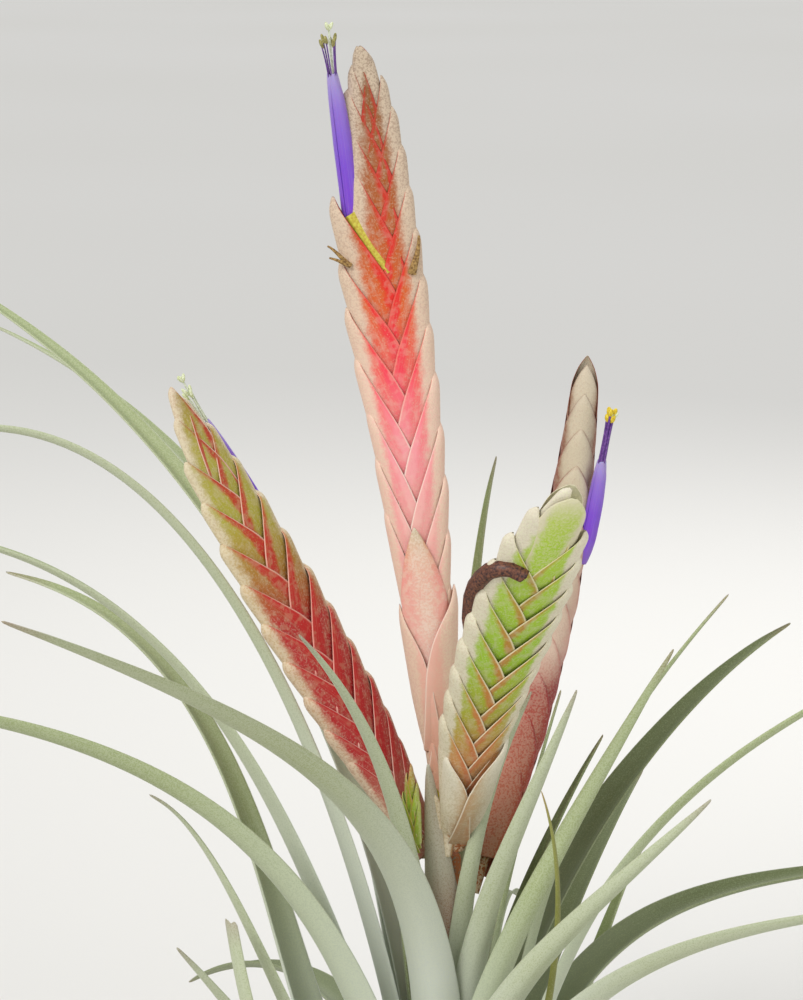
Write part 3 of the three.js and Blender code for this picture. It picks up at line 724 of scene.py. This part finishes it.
# %% [markdown]
# ## The bract blanks
#
# A spike is flat because its bracts are folded in half like a paper boat. Each keel is the outer
# edge of the spike; both flaps reach over the middle, and their free margins run from past the
# midline at the foot out to the keel at the tip. The blank is a strip folded into a U: its rows
# move onto an arc from the keel, at Y = 1, to the two margins, at Y = 0. Then every cross row is
# scaled towards the keel as far as the margins have come, and widened a little towards the tip so
# that each bract lies over the ones above it. Cut out of a curved sheet it would have the same
# shape, but folding a grid keeps the even UV map that the zones are worked out from.
#
# There are three blanks. The round one serves most spikes; the pointed one, with its narrow tip,
# the rear spike. The clasping one has a narrow foot and margins that stay past the midline for
# most of its length, so that a pair of them wraps the foot of a spike.

# %% Bract blanks
BRACT_CELLS = 12


def bract_blank(name, keel_line, margin_line, half_depth):
    """Each line gives a value at fractions of the length, foot to tip."""
    blank = flat_strip(name, BRACT_CELLS, BRACT_CELLS)
    for row in range(BRACT_CELLS + 1):
        y = row / BRACT_CELLS - 0.5
        turn = abs(y) * math.pi
        lift = -math.copysign(math.sin(turn), y) if y else 0.0
        select_flat_row(y)
        bpy.ops.transform.translate(value=(0, math.cos(turn) - y, lift))
    for column in range(BRACT_CELLS + 1):
        x = column / BRACT_CELLS
        keel, margin = read(keel_line, x), read(margin_line, x)
        select_column(x)
        bpy.ops.transform.resize(
            value=(1, keel - margin, read(half_depth, x)), center_override=(x, 1, 0))
        bpy.ops.transform.translate(value=(0, keel - 1, 0))
    bpy.ops.object.mode_set(mode="OBJECT")
    print(name, [round(v, 2) for v in blank.dimensions])
    return blank


KEEL_LINE = [(0, 0.76), (0.42, 0.9), (0.74, 0.99), (0.9, 1.03), (0.97, 1.0), (1, 0.91)]
BRACTS = {
    "round": bract_blank(
        "round bract", KEEL_LINE, [(0, -0.5), (CROSSING, 0.0), (0.91, 0.8), (1, 0.86)],
        [(0, 0.7), (0.2, 0.87), (0.3, 0.93), (0.42, 0.98), (0.56, 0.94), (0.7, 0.88),
         (0.82, 0.8), (0.91, 0.66), (0.97, 0.42), (1, 0.1)]),
    "pointed": bract_blank(
        "pointed bract", KEEL_LINE, [(0, -0.5), (0.38, 0.1), (0.65, 0.5), (0.82, 0.8), (1, 0.89)],
        [(0, 0.78), (0.38, 0.98), (0.65, 0.9), (0.82, 0.6), (0.91, 0.35), (1, 0.03)]),
    "clasping": bract_blank(
        "clasping bract", [(0, 0.5), (0.2, 0.74)] + KEEL_LINE[1:],
        [(0, -0.5), (0.5, -0.3), (0.7, 0.0), (0.92, 0.78), (1, 0.86)],
        [(0, 0.35), (0.2, 0.72), (0.42, 0.96), (0.7, 1), (0.82, 0.86), (0.91, 0.66),
         (0.97, 0.42), (1, 0.1)]),
}

# %% [markdown]
# ## The spikes
#
# A spike's axis is a Bezier curve, and "face" is the way its flat side looks. Bracts stand
# alternately on its two edges. Each copy is turned so that its length follows the axis and its
# keel follows the outline of the spike, then its size is applied. A spike could be sculpted as one
# body with grooves, but separate bracts give the real steps, and the thin shadows where one lies
# over the next.

# %% Places on a curve
def bezier(points, s):
    """The place and the direction at the fraction s of a curve with two ends and two handles."""
    a, b, c, d = (Vector(p) for p in points)
    here = a * (1 - s) ** 3 + b * 3 * s * (1 - s) ** 2 + c * 3 * s * s * (1 - s) + d * s ** 3
    ahead = (b - a) * (1 - s) ** 2 + (c - b) * 2 * s * (1 - s) + (d - c) * s * s
    return here, ahead.normalized()


def length_of(points):
    places = [bezier(points, i / 40)[0] for i in range(41)]
    return sum((b - a).length for a, b in zip(places, places[1:]))


# %% Put a bract blank in place
BRACT_SHEET = 0.2  # mm


def place_blank(name, blank, start, along_bract, across, size, finish):
    """start is the middle of the foot and size is length, width, half depth, all in mm."""
    bract = copy_of(BRACTS[blank], name)
    along_bract, across = Vector(along_bract).normalized(), Vector(across).normalized()
    turn = Matrix((along_bract, across, along_bract.cross(across))).transposed()
    bract.rotation_euler = turn.to_euler()
    bract.location = Vector(start) * MM
    bract.scale = Vector(size) * MM
    bpy.ops.object.transform_apply()
    paint(bract, [BRACT_FINISHES[finish]])
    skin(bract, BRACT_SHEET * MM, -1.0)
    return bract


# %% One bract on a spike
THICKNESS_LINE = [(0, 0.55), (0.35, 1), (0.6, 1), (1, 0.45)]  # thickness up the axis
NARROWEST_FOOT = 0.75  # width of a bract's foot beside that of its end
NARROWEST_BRACT = 2.0


def facing(look, ahead):
    """The part of look that is square to ahead."""
    look = Vector(look).normalized()
    return (look - ahead * look.dot(ahead)).normalized()


def set_bract(name, spike, side, end, length, finish):
    """end is the fraction of the axis where the bract's tip stands, length is in mm."""
    foot = end - length / length_of(spike["axis"])
    start = bezier(spike["axis"], foot)[0]
    ahead = (bezier(spike["axis"], end)[0] - start).normalized()
    outward = ahead.cross(facing(spike["face"], ahead)) * side
    outline = spike["outline"]
    if side < 0:
        outline = spike.get("left_outline", outline)
    wide_end = read(outline, end) * spike["half_width"]
    wide = max(read(outline, foot) * spike["half_width"], NARROWEST_FOOT * wide_end)
    lean = math.atan2(wide - wide_end, length)
    along_bract = ahead * math.cos(lean) - outward * math.sin(lean)
    across = outward * math.cos(lean) + ahead * math.sin(lean)
    deep = spike["thickness"] * read(THICKNESS_LINE, (foot + end) / 2)
    return place_blank(
        name, spike.get("blank", "round"), start, along_bract, across,
        (length, max(wide, NARROWEST_BRACT), deep), finish)


# %% [markdown]
# The table gives lengths in mm. "first_tip" is how far up the axis the first bract ends, and
# "crowding" sets the others closer to each other towards the top. "outline" is how far the edge
# stands out, beside "half_width", at fractions of the axis; "left_outline" is for the left edge
# where it differs. On the main spike one bract is stretched upwards, as in the photo, by the
# fraction of the axis that "shifts" gives.

# %% Spike table
SPIKES = [
    dict(
        name="main_spike", slot="coral_bracts",
        axis=[(-1, 0, 135), (-8, 0, 210), (-15, 0, 300), (-26.5, 0, 379)], face=(0, -1, 0.1),
        bracts=29, bract_length=43, first_tip=0.25, crowding=1.35,
        half_width=12.4, thickness=4.2, stalk=2.2,
        outline=[(0.14, 0.17), (0.19, 0.25), (0.23, 0.55), (0.27, 0.68), (0.36, 0.76),
                 (0.47, 0.9), (0.58, 0.92), (0.77, 0.85), (0.835, 0.77), (0.9, 0.7),
                 (0.955, 0.56), (1, 0.14)],
        left_outline=[(0.14, 0.17), (0.19, 0.25), (0.27, 0.4), (0.36, 0.48), (0.47, 0.78),
                      (0.58, 0.92), (0.645, 1.1), (0.71, 1.22), (0.84, 1.24), (0.85, 0.7),
                      (0.9, 0.64), (0.955, 0.54), (1, 0.14)],
        shifts={18: 0.022},
    ),
    dict(
        name="left_spike", slot="scarlet_bracts",
        axis=[(-6.6, -1, 134), (-22, -8, 166), (-52, -8, 218), (-84.5, -8, 285)],
        face=(0.66, -0.7, 0.34),
        bracts=23, bract_length=33, first_tip=0.2, crowding=1.25,
        half_width=13, thickness=4.2, stalk=2.4,
        outline=[(0.08, 0.4), (0.2, 0.92), (0.4, 1.14), (0.65, 1.1), (0.8, 0.9), (0.92, 0.6),
                 (1, 0.05)],
        left_outline=[(0.08, 0.25), (0.2, 0.66), (0.4, 0.95), (0.65, 1.02), (0.8, 0.95),
                      (0.92, 0.72), (1, 0.1)],
    ),
    dict(
        name="front_spike", slot="lime_bracts",
        axis=[(2.6, -6.4, 138), (3.4, -20, 175), (14.6, -45, 215), (34.4, -73, 264)],
        face=(0.15, -1, -0.35),
        bracts=23, bract_length=33, first_tip=0.24, crowding=1.2,
        half_width=12.8, thickness=4.4, stalk=2.4,
        outline=[(0.08, 0.25), (0.2, 0.62), (0.4, 0.86), (0.68, 1), (0.84, 0.92), (0.94, 0.68),
                 (1, 0.08)],
        left_outline=[(0.08, 0.25), (0.2, 0.6), (0.4, 0.96), (0.68, 1.14), (0.84, 1.18),
                      (0.94, 1.0), (1, 0.3)],
    ),
    dict(
        name="rear_spike", slot="cream_bracts", blank="pointed",
        axis=[(7.2, 4, 120), (22.5, 18, 165), (39.5, 26, 225), (42.4, 25, 285.5)],
        face=(-1, 0.05, 0.1),
        bracts=23, bract_length=35, first_tip=0.24, crowding=1.25,
        half_width=10.6, thickness=8.6, stalk=2.4,
        outline=[(0.1, 0.25), (0.22, 0.66), (0.42, 0.92), (0.65, 1), (0.8, 0.84), (0.92, 0.54),
                 (1, 0.05)],
    ),
]

# %% [markdown]
# The stem and the branches inside the spikes are brown and dusted with scurf. Their bark has no
# pattern that shows at this size, so a ramp over height with the scurf group on it is enough.

# %% Stalk finish
def bark_material(name, stops, low, high, flecks, density):
    material, tree, shader = new_material(name, 0.7)
    up = height_between(tree, low, high)
    scales = use_group(tree, scurf, {"Density": density, "Scale": 1000.0})
    base = blend(tree, scales["Mask"], ramp(tree, up, stops), colour(flecks))
    finish_with(tree, shader, base, scales["Height"], 0.4, 0.0004)
    return material


stem_finish = bark_material(
    "stem", [(0, "#4a3322"), (0.35, "#6b5236"), (0.7, "#9a6a3c"), (1, "#a8602c")],
    0, 134, "#8a7a60", 0.35)
branch_finish = bark_material(
    "branch", [(0, "#a05a2a"), (0.5, "#8a5a34"), (1, "#8a6a44")], 130, 290, "#c8b090", 0.5)

# %% [markdown]
# The axis itself is a tapering round stalk: a curve with a round bevel, turned into a mesh. It
# stops at 0.85 of its length, so that it stays hidden among the last bracts; to cut a Bezier curve
# there, its handles are cut at 0.85 too. Filaments and other threads are made the same way later.

# %% Round pieces along a curve
def thread(name, points, radius, end_radius, material, steps=8, roundness=1):
    """A closed tube along a curve, points and radii in mm; steps and roundness are how finely it
    is cut along and around."""
    made = spine([Vector(p) * MM for p in points])
    made.data.use_stretch = False
    made.data.resolution_u = steps
    made.data.bevel_depth = radius * MM
    made.data.bevel_resolution = roundness
    made.data.use_fill_caps = True
    made.data.splines[0].bezier_points[1].radius = end_radius / radius
    only(made)
    bpy.ops.object.convert(target="MESH")
    made = bpy.context.object
    made.name = name
    paint(made, [material])
    bpy.ops.object.shade_smooth()
    return made


# %% Axis of a spike
AXIS_END = 0.85


def spike_axis(spike):
    a, b, c, _ = (Vector(p) for p in spike["axis"])
    ab, bc = a.lerp(b, AXIS_END), b.lerp(c, AXIS_END)
    points = [a, ab, ab.lerp(bc, AXIS_END), bezier(spike["axis"], AXIS_END)[0]]
    return thread(spike["name"] + "_axis", points, spike["stalk"], 0.3 * spike["stalk"],
                  branch_finish, steps=32, roundness=3)


# %% Bracts of a spike
SHORTENING = 0.3  # how much shorter the last bract is than the first


def spike_bracts(spike):
    total = length_of(spike["axis"])
    bracts = []
    for i in range(spike["bracts"]):
        up = i / (spike["bracts"] - 1)
        shift = spike.get("shifts", {}).get(i, 0)
        tip = 1 - (1 - spike["first_tip"]) * (1 - up) ** spike["crowding"] + shift
        length = spike["bract_length"] * (1 - SHORTENING * up ** 2) + shift * total
        length = min(length, total * (tip - 0.01))  # the foot stays on the axis
        bracts.append(set_bract(
            f"{spike['name']}_bract_{i + 1:02}", spike, 1 if i % 2 else -1, tip, length,
            spike["name"]))
    return bracts


# %% Build the spikes
for spike in SPIKES:
    members = [spike_axis(spike), *spike_bracts(spike)]
    hand_over(members, spike["name"])
    print(spike["name"], "pieces:", len(members))

# %% [markdown]
# ## Bracts that stand out of line
#
# A few bracts do not sit on an edge. Low on the main spike one stands in front, folded over the
# flat side with its keel to the viewer, and a pair of clasping flaps laps over its foot. A pale
# cup, made the same way, holds the foot of the front spike.
#
# Two bracts back to back close the tips of the main and the front spike. With bracts on the two
# edges alone, a tip would be a fork with a dark hollow between its points.

# %% Close a tip
def tip_pair(spike, end, ahead, look, sizes, finish):
    """Two bracts whose tips meet at end; the first one's keel faces the way look gives."""
    return [
        place_blank(f"{spike['name']}_tip_{which}", "round", end - ahead * size[0], ahead,
                    look * side, size, finish)
        for which, side, size in zip(("front", "back"), (1, -1), sizes)
    ]


# %% Bracts out of line
main, front = SPIKES[0], SPIKES[2]
loose = [place_blank("main_spike_clasp", "pointed", (-2.7, 0, 179.4), (-0.137, 0, 0.99),
                     (0, -1, 0), (59, 5.6, 7.8), "clasp")]
end, ahead = bezier(main["axis"], 1)[0], bezier(main["axis"], 0.97)[1]
loose += tip_pair(main, end + ahead, ahead, Vector((0, -1, 0)), [(24, 1.9, 3.3)] * 2, "main_spike")
end, ahead = bezier(front["axis"], 0.99)[0], bezier(front["axis"], 0.92)[1]
loose += tip_pair(front, end + Vector((-0.9, 0, 0.4)), ahead, facing(front["face"], ahead),
                  [(40, 3.5, 7.6), (38, 3.0, 7)], "lime end")
for name, spike, side, end, length, thickness, outline, finish in [
        ("main_spike_flap_left", main, -1, 0.33, 50, 7.4, [(0, 0.3), (0.33, 0.62)], "main_spike"),
        ("main_spike_flap_right", main, 1, 0.35, 52, 7.8, [(0, 0.3), (0.35, 0.88)], "main_spike"),
        ("front_spike_cup_left", front, -1, 0.29, 40, 8.2, [(0, 0.36), (0.29, 0.72)], "cup"),
        ("front_spike_cup_right", front, 1, 0.33, 45, 8.8, [(0, 0.36), (0.33, 0.84)], "cup")]:
    shape = dict(spike, blank="clasping", thickness=thickness, outline=outline,
                 left_outline=outline)
    loose.append(set_bract(name, shape, side, end, length, finish))
for piece in loose:
    spike = main if piece.name.startswith("main") else front
    hand_over([piece], spike["name"])
print("bracts out of line:", len(loose))

# %% [markdown]
# ## Stem
#
# The stem is a squat cone that draws out into the flower stalk. It could be spun from a profile
# as well. A cylinder whose top is pulled up and scaled in steps needs only a table of heights and
# radii, and comes out closed.

# %% Stem
FOOT_RADIUS, FOOT_DEPTH = 18.5, 1.5
STEM = [(1.5, 20), (5, 19.5), (24, 13), (44, 5.5), (60, 4), (133, 3.8), (134, 3)]  # height, radius
bpy.ops.mesh.primitive_cylinder_add(
    vertices=24, radius=FOOT_RADIUS * MM, depth=FOOT_DEPTH * MM,
    location=(0, 0, FOOT_DEPTH / 2 * MM))
stem = bpy.context.object
stem.name = "stem"
bpy.ops.object.transform_apply(location=True, rotation=False, scale=False)
bpy.ops.object.mode_set(mode="EDIT")
level, radius = FOOT_DEPTH, FOOT_RADIUS
for height, wide in STEM:
    select_vertices(lambda co: co.z > (level - 0.01) * MM)
    if height > level:
        bpy.ops.mesh.extrude_region_move(
            TRANSFORM_OT_translate={"value": (0, 0, (height - level) * MM)})
    bpy.ops.transform.resize(value=(wide / radius, wide / radius, 1))
    level, radius = height, wide
bpy.ops.object.mode_set(mode="OBJECT")
bpy.ops.object.shade_smooth_by_angle(angle=math.radians(40))
stem.data.materials.append(stem_finish)
hand_over([stem], "stem_and_stalk")
print("stem:", [round(v, 4) for v in stem.dimensions])

# %% [markdown]
# ## Flowers
#
# A tillandsia flower is three petals rolled into a tube, with six stamens and a style that reach
# out of its mouth. One petal is a grid whose rows move onto part of a circle, a little wider than
# a third so that neighbours overlap; three copies turned by 120 degrees close the tube, which is
# then bent along the flower's own spine. One tapered tube would do from far off, but here the
# petals' edges show at the mouth and down the side.
#
# A petal is silky and lets a little light through. Lengthwise lines make its veins, and some
# subsurface on the shader gives the glow.

# %% Petal finish
petal_finish, tree, shader = new_material(
    "petal", 0.42, Subsurface_Weight=0.15, Subsurface_Scale=0.002, Sheen_Weight=0.1)
base = ramp(tree, along_across(tree)[0], [
    (0, "#8a64c4"), (0.25, "#7a3cc8"), (0.5, "#7a44cc"), (0.8, "#8f6ccc"), (1, "#a898cc")])
veins = use_group(tree, lines, {"Across": 22.0, "Along": 2.0})["Lines"]
base = blend(tree, times(tree, soft_step(tree, veins, 0.45, 0.7), 0.35), base, colour("#9a80d0"))
finish_with(tree, shader, base, veins, 0.3, 0.0002)

# %% [markdown]
# Threads, anthers and dried remains are too small for zones or veins. Two close colours mixed by
# fine noise keep them from looking like plastic.

# %% Finishes of the small parts
def plain_material(name, low, high, roughness, **sockets):
    """Two colours mixed by fine noise."""
    material, tree, shader = new_material(name, roughness, **sockets)
    grain = noise(tree, in_object(tree), 1400.0, 3.0)
    base = ramp(tree, grain, [(0.35, low), (0.65, high)])
    finish_with(tree, shader, base, grain, 0.25, 0.0002)
    return material


filament_finish = plain_material("filament", "#4e2a78", "#7a4c9c", 0.5)
white_filament = plain_material("style", "#b8bfa0", "#dde2cc", 0.5)
anther_dull = plain_material("anther olive", "#7a7440", "#b0a868", 0.8)
anther_bright = plain_material("anther yellow", "#c8a818", "#ecd648", 0.8)
stigma_finish = plain_material("stigma", "#c4cc90", "#e6ebcc", 0.6)

# %% Petal blank
PETAL_COLUMNS, PETAL_ROWS = 16, 8
PETAL_ARC = math.radians(155)
PETAL_WIDTH = [(0, 0.5), (0.12, 0.82), (0.25, 0.98), (0.6, 0.97), (0.85, 0.8), (1, 0.6)]
PETAL_TIP = [(0, 1), (0.88, 1), (0.95, 0.8), (1, 0.35)]
petal_blank = flat_strip("petal blank", PETAL_COLUMNS, PETAL_ROWS)
for row in range(PETAL_ROWS + 1):
    y = row / PETAL_ROWS - 0.5
    turn = y * PETAL_ARC
    reach = 0.94 + 0.14 * y  # one margin lies outside the next petal, the other inside
    select_flat_row(y)
    bpy.ops.transform.translate(value=(0, reach * math.sin(turn) - y, -reach * math.cos(turn)))
for column in range(PETAL_COLUMNS + 1):
    x = column / PETAL_COLUMNS
    wide = read(PETAL_WIDTH, x)
    select_column(x)
    bpy.ops.transform.resize(
        value=(1, wide * read(PETAL_TIP, x), wide), center_override=(x, 0, 0))
bpy.ops.object.mode_set(mode="OBJECT")

# %% [markdown]
# A stamen is a filament with an anther, a pistil a style with the lobes of its stigma. Filament
# and style are threads. Anthers and lobes are beads, which are joined to their threads so that
# each stamen and each pistil stays one piece.

# %% Beads and joined pieces
def bead(centre, direction, long, wide, material):
    """A small oval; centre and sizes in mm."""
    bpy.ops.mesh.primitive_uv_sphere_add(segments=10, ring_count=6, radius=1)
    made = bpy.context.object
    made.rotation_euler = Vector(direction).to_track_quat("Z", "Y").to_euler()
    made.scale = Vector((wide, wide, long)) * MM
    made.location = Vector(centre) * MM
    bpy.ops.object.transform_apply()
    made.data.materials.append(material)
    bpy.ops.object.shade_smooth()
    return made


def joined(parts, name):
    bpy.ops.object.select_all(action="DESELECT")
    for part in parts:
        part.select_set(True)
    bpy.context.view_layer.objects.active = parts[0]
    bpy.ops.object.join()
    made = bpy.context.object
    made.name = name
    return made


# %% [markdown]
# Lengths of the flowers are in mm. "stamens" and "style" are how far these reach out of the mouth,
# "spread" how far the stamens stand apart there, and "fine" the radius of a filament. The left
# flower is nearly over and its threads have paled.

# %% Flower table
FLOWERS = [
    dict(name="main_flower", root=(-28, 2.4, 319), mouth=(-34.6, -3.2, 372.5), radius=3.0,
         stamens=7.5, style=12, spread=1.1, fine=0.26,
         filament=filament_finish, anther=anther_dull),
    dict(name="left_flower", root=(-48.5, 6, 227), mouth=(-73.4, 4.5, 268.5), radius=2.1,
         stamens=8, style=13, spread=0.5, fine=0.24,
         filament=white_filament, anther=stigma_finish),
    dict(name="rear_flower", root=(41, 19, 221), mouth=(46.6, 16, 254), radius=2.6,
         stamens=13, style=13, spread=0.1, fine=0.5,
         filament=filament_finish, anther=anther_bright),
]
INSIDE = 5  # mm from the mouth down to where filaments and style start

# %% Petals
def petal_of(flower, i):
    """One of three petals; the tube bows a little towards +X."""
    root, mouth = Vector(flower["root"]), Vector(flower["mouth"])
    middle = (root + mouth) / 2 + Vector((0.8, 0, 0))
    points = [root, root.lerp(middle, 2 / 3), mouth.lerp(middle, 2 / 3), mouth]
    return grow(f"{flower['name']}_petal_{i + 1}", petal_blank, [p * MM for p in points],
                flower["radius"], 0.25, [petal_finish], turn=math.radians(120 * i + 50))


# %% Directions at a flower's mouth
def way_out(flower):
    """The mouth's place, and the direction out of the tube."""
    mouth = Vector(flower["mouth"])
    return mouth, (mouth - Vector(flower["root"])).normalized()


def sideways(ahead, degrees):
    """A direction square to ahead, at an angle round it."""
    a = math.radians(degrees)
    aside = Vector((0, 1, 0)).cross(ahead).normalized()
    return aside * math.cos(a) + ahead.cross(aside) * math.sin(a)


# %% Stamens
def stamen_of(flower, i):
    """A filament with an anther on its end; every other one is a little shorter."""
    mouth, ahead = way_out(flower)
    out, radius, fine = sideways(ahead, 60 * i + 15), flower["radius"], flower["fine"]
    reach = flower["stamens"] * (0.85 if i % 2 else 1.0) + 1.4
    top = mouth + out * (radius * 0.33 + flower["spread"]) + ahead * reach
    foot = mouth - ahead * INSIDE + out * radius * 0.3
    points = [foot, foot.lerp(top, 0.3), foot.lerp(top, 0.7) - out * 0.4, top]
    filament = thread("filament", points, fine, fine * 0.8, flower["filament"])
    anther = bead(top + ahead * 0.9, ahead + out * 0.3, 1.5, 0.3 + fine, flower["anther"])
    return joined([filament, anther], f"{flower['name']}_stamen_{i + 1}")


# %% Pistil
def pistil_of(flower):
    """A style that ends in a stigma of three lobes."""
    mouth, ahead = way_out(flower)
    foot = mouth - ahead * INSIDE
    top = mouth + ahead * flower["style"] + sideways(ahead, 0) * 0.6
    points = [foot, foot.lerp(top, 0.3), foot.lerp(top, 0.7), top]
    parts = [thread("style", points, 0.33, 0.33, white_filament)]
    for out in (sideways(ahead, 120 * i) for i in range(3)):
        parts.append(bead(top + ahead * 1.3 + out * 0.6, ahead * 1.5 + out, 1.5, 0.6, stigma_finish))
    return joined(parts, flower["name"] + "_pistil")


# %% Build the flowers
for flower in FLOWERS:
    name = flower["name"]
    hand_over([petal_of(flower, i) for i in range(3)], name + "_petals")
    hand_over([stamen_of(flower, i) for i in range(6)], name + "_stamens")
    hand_over([pistil_of(flower)], name + "_pistil")
print("flowers:", len(FLOWERS))

# %% [markdown]
# ## Dried and young parts
#
# A spent flower hangs over the edge of the front spike: petals twisted into a brown rope. It is
# a bent tube whose vertices are pushed about a little by chance, which at this size looks the same
# as wrinkles that are sculpted. At the foot of the left spike a young one starts, built from the
# same bracts on a small scale.

# %% Dried flower
dried_finish = plain_material("dried petal", "#2c1618", "#7a4a34", 0.5)
dried = thread(
    "dried_flower", [(19.5, -62, 236.5), (11, -66, 243.5), (2.2, -51, 232), (6.2, -43, 215)],
    2.3, 2.9, dried_finish)
only(dried)
bpy.ops.object.mode_set(mode="EDIT")
bpy.ops.mesh.select_all(action="SELECT")
bpy.ops.transform.vertex_random(offset=0.35 * MM, seed=3)
bpy.ops.object.mode_set(mode="OBJECT")
hand_over([dried], "dried_flower")

# %% Young spike
young = dict(
    axis=[(-9.5, -9.8, 138), (-11.5, -12.5, 147), (-12.2, -13.8, 157), (-11.8, -14, 167)],
    face=(-0.2, -1, 0), half_width=3.4, thickness=2.4,
    outline=[(0, 0.6), (0.4, 1), (0.8, 0.7), (1, 0.1)],
)
for i in range(6):
    piece = set_bract(
        f"young_spike_bract_{i + 1}", young, 1 if i % 2 else -1, 0.5 + 0.1 * i, 15.0,
        "young_spike")
    hand_over([piece], "young_spike")

# %% [markdown]
# Where flowers have fallen, their dry stubs stick out between the bracts of the main spike, and
# a yellow-green sepal still shows beside the open flower. Where the stalk branches, a green node
# and two bud scales show. All are short threads, beads and small bracts.

# %% Stubs, sepal and bud scales
stub_finish = plain_material("dry stub", "#6a4a24", "#b89458", 0.8)
sepal_finish = plain_material("sepal", "#b89c30", "#d0c84c", 0.6)
node_finish = plain_material("green node", "#8fa828", "#c8a830", 0.6)
LEFT_STUB = (-29.5, -2.6, 316)
on_main_spike = [
    thread("stub_left_a", [LEFT_STUB, (-32, -3.4, 318), (-34, -4, 321), (-36.2, -4, 322)],
           0.9, 0.3, stub_finish),
    thread("stub_left_b", [LEFT_STUB, (-32, -3, 317), (-33.5, -4, 318), (-35.6, -5, 318.6)],
           0.8, 0.3, stub_finish),
    thread("stub_right", [(-11.4, -2.4, 314), (-10.6, -3.8, 317), (-9.4, -4, 320), (-9.4, -3, 325)],
           1.5, 0.4, stub_finish),
    thread("sepal", [(-29.6, -0.7, 331), (-26.4, -1, 326), (-22.8, -1.2, 320), (-18.2, -1.4, 314)],
           2.0, 1.8, sepal_finish),
]
green_node = bead((-4.2, -8.2, 151), (-0.1, -0.1, 1), 7, 2.4, node_finish)
green_node.name = "green_node"
on_stalk = [
    green_node,
    place_blank("bud_scale_a", "pointed", (-2.6, -9, 145), (-0.14, 0, 0.99), (-0.3, -0.95, -0.04),
                (12, 2.2, 2.2), "front_spike"),
    place_blank("bud_scale_b", "pointed", (-0.4, -8.6, 136), (0.02, 0, 1), (0.2, -0.98, 0),
                (11, 2.2, 1.8), "front_spike"),
]
hand_over(on_main_spike, "main_spike")
hand_over(on_stalk, "stem_and_stalk")
print("small bits:", len(on_main_spike) + len(on_stalk))

# %% [markdown]
# The blanks have done their work and are removed, so that only the plant is left.

# %% Remove the blanks
for blank in [*BLANKS.values(), *BRACTS.values(), petal_blank]:
    bpy.data.objects.remove(blank)

# %% [markdown]
# ## Floor, light and camera
#
# A plain pale floor and soft light: a sun with a wide disc as the key from the upper left, a weak
# lamp as fill from the right and one from behind that lifts the edges. The camera looks slightly
# down along +Y with a long lens. It looks at the point that the middle of the photo shows.

# %% Floor
bpy.ops.mesh.primitive_plane_add(size=60, location=(0, 0, 0))
floor = bpy.context.object
floor.name = "floor"
floor_finish, tree, shader = new_material("floor", 0.9)
cloud = noise(tree, in_object(tree), 0.6, 1.0)
tree.links.new(ramp(tree, cloud, [(0.3, "#dedcd7"), (0.7, "#e1dfdb")]), shader.inputs["Base Color"])
floor.data.materials.append(floor_finish)

# %% Light
def lamp(name, location, target, size, power, tint):
    bpy.ops.object.light_add(type="AREA", location=location)
    made = bpy.context.object
    made.name = name
    made.data.size = size
    made.data.energy = power
    made.data.color = tint
    made.rotation_euler = (Vector(target) - Vector(location)).to_track_quat("-Z", "Y").to_euler()


bpy.ops.object.light_add(type="SUN", location=(-1, -1.4, 1.6))
key = bpy.context.object
key.name = "key"
key.data.energy = 2.0
key.data.angle = math.radians(30)
key.rotation_euler = Vector((0.55, 0.75, -0.8)).to_track_quat("-Z", "Y").to_euler()
lamp("fill", (0.9, -0.9, 0.5), (0, 0, 0.2), 0.8, 3, (0.97, 0.98, 1))
lamp("rim", (0.3, 0.9, 0.9), (0, 0, 0.25), 0.6, 5, (1, 1, 1))
world = bpy.data.worlds.new("studio")
bpy.context.scene.world = world
world.use_nodes = True
background = world.node_tree.nodes["Background"]
background.inputs["Color"].default_value = colour("#e6e8ea")
background.inputs["Strength"].default_value = 0.6
bpy.context.scene.view_settings.view_transform = "Standard"

# %% Camera
TARGET = Vector((-14.5, 0, 245)) * MM
DISTANCE, ELEVATION = 0.9, math.radians(12)
bpy.ops.object.camera_add(
    location=TARGET + Vector((0, -math.cos(ELEVATION), math.sin(ELEVATION))) * DISTANCE,
    rotation=(math.pi / 2 - ELEVATION, 0, 0))
camera = bpy.context.object
camera.data.lens = 108
camera.data.sensor_width = 36
bpy.context.scene.camera = camera
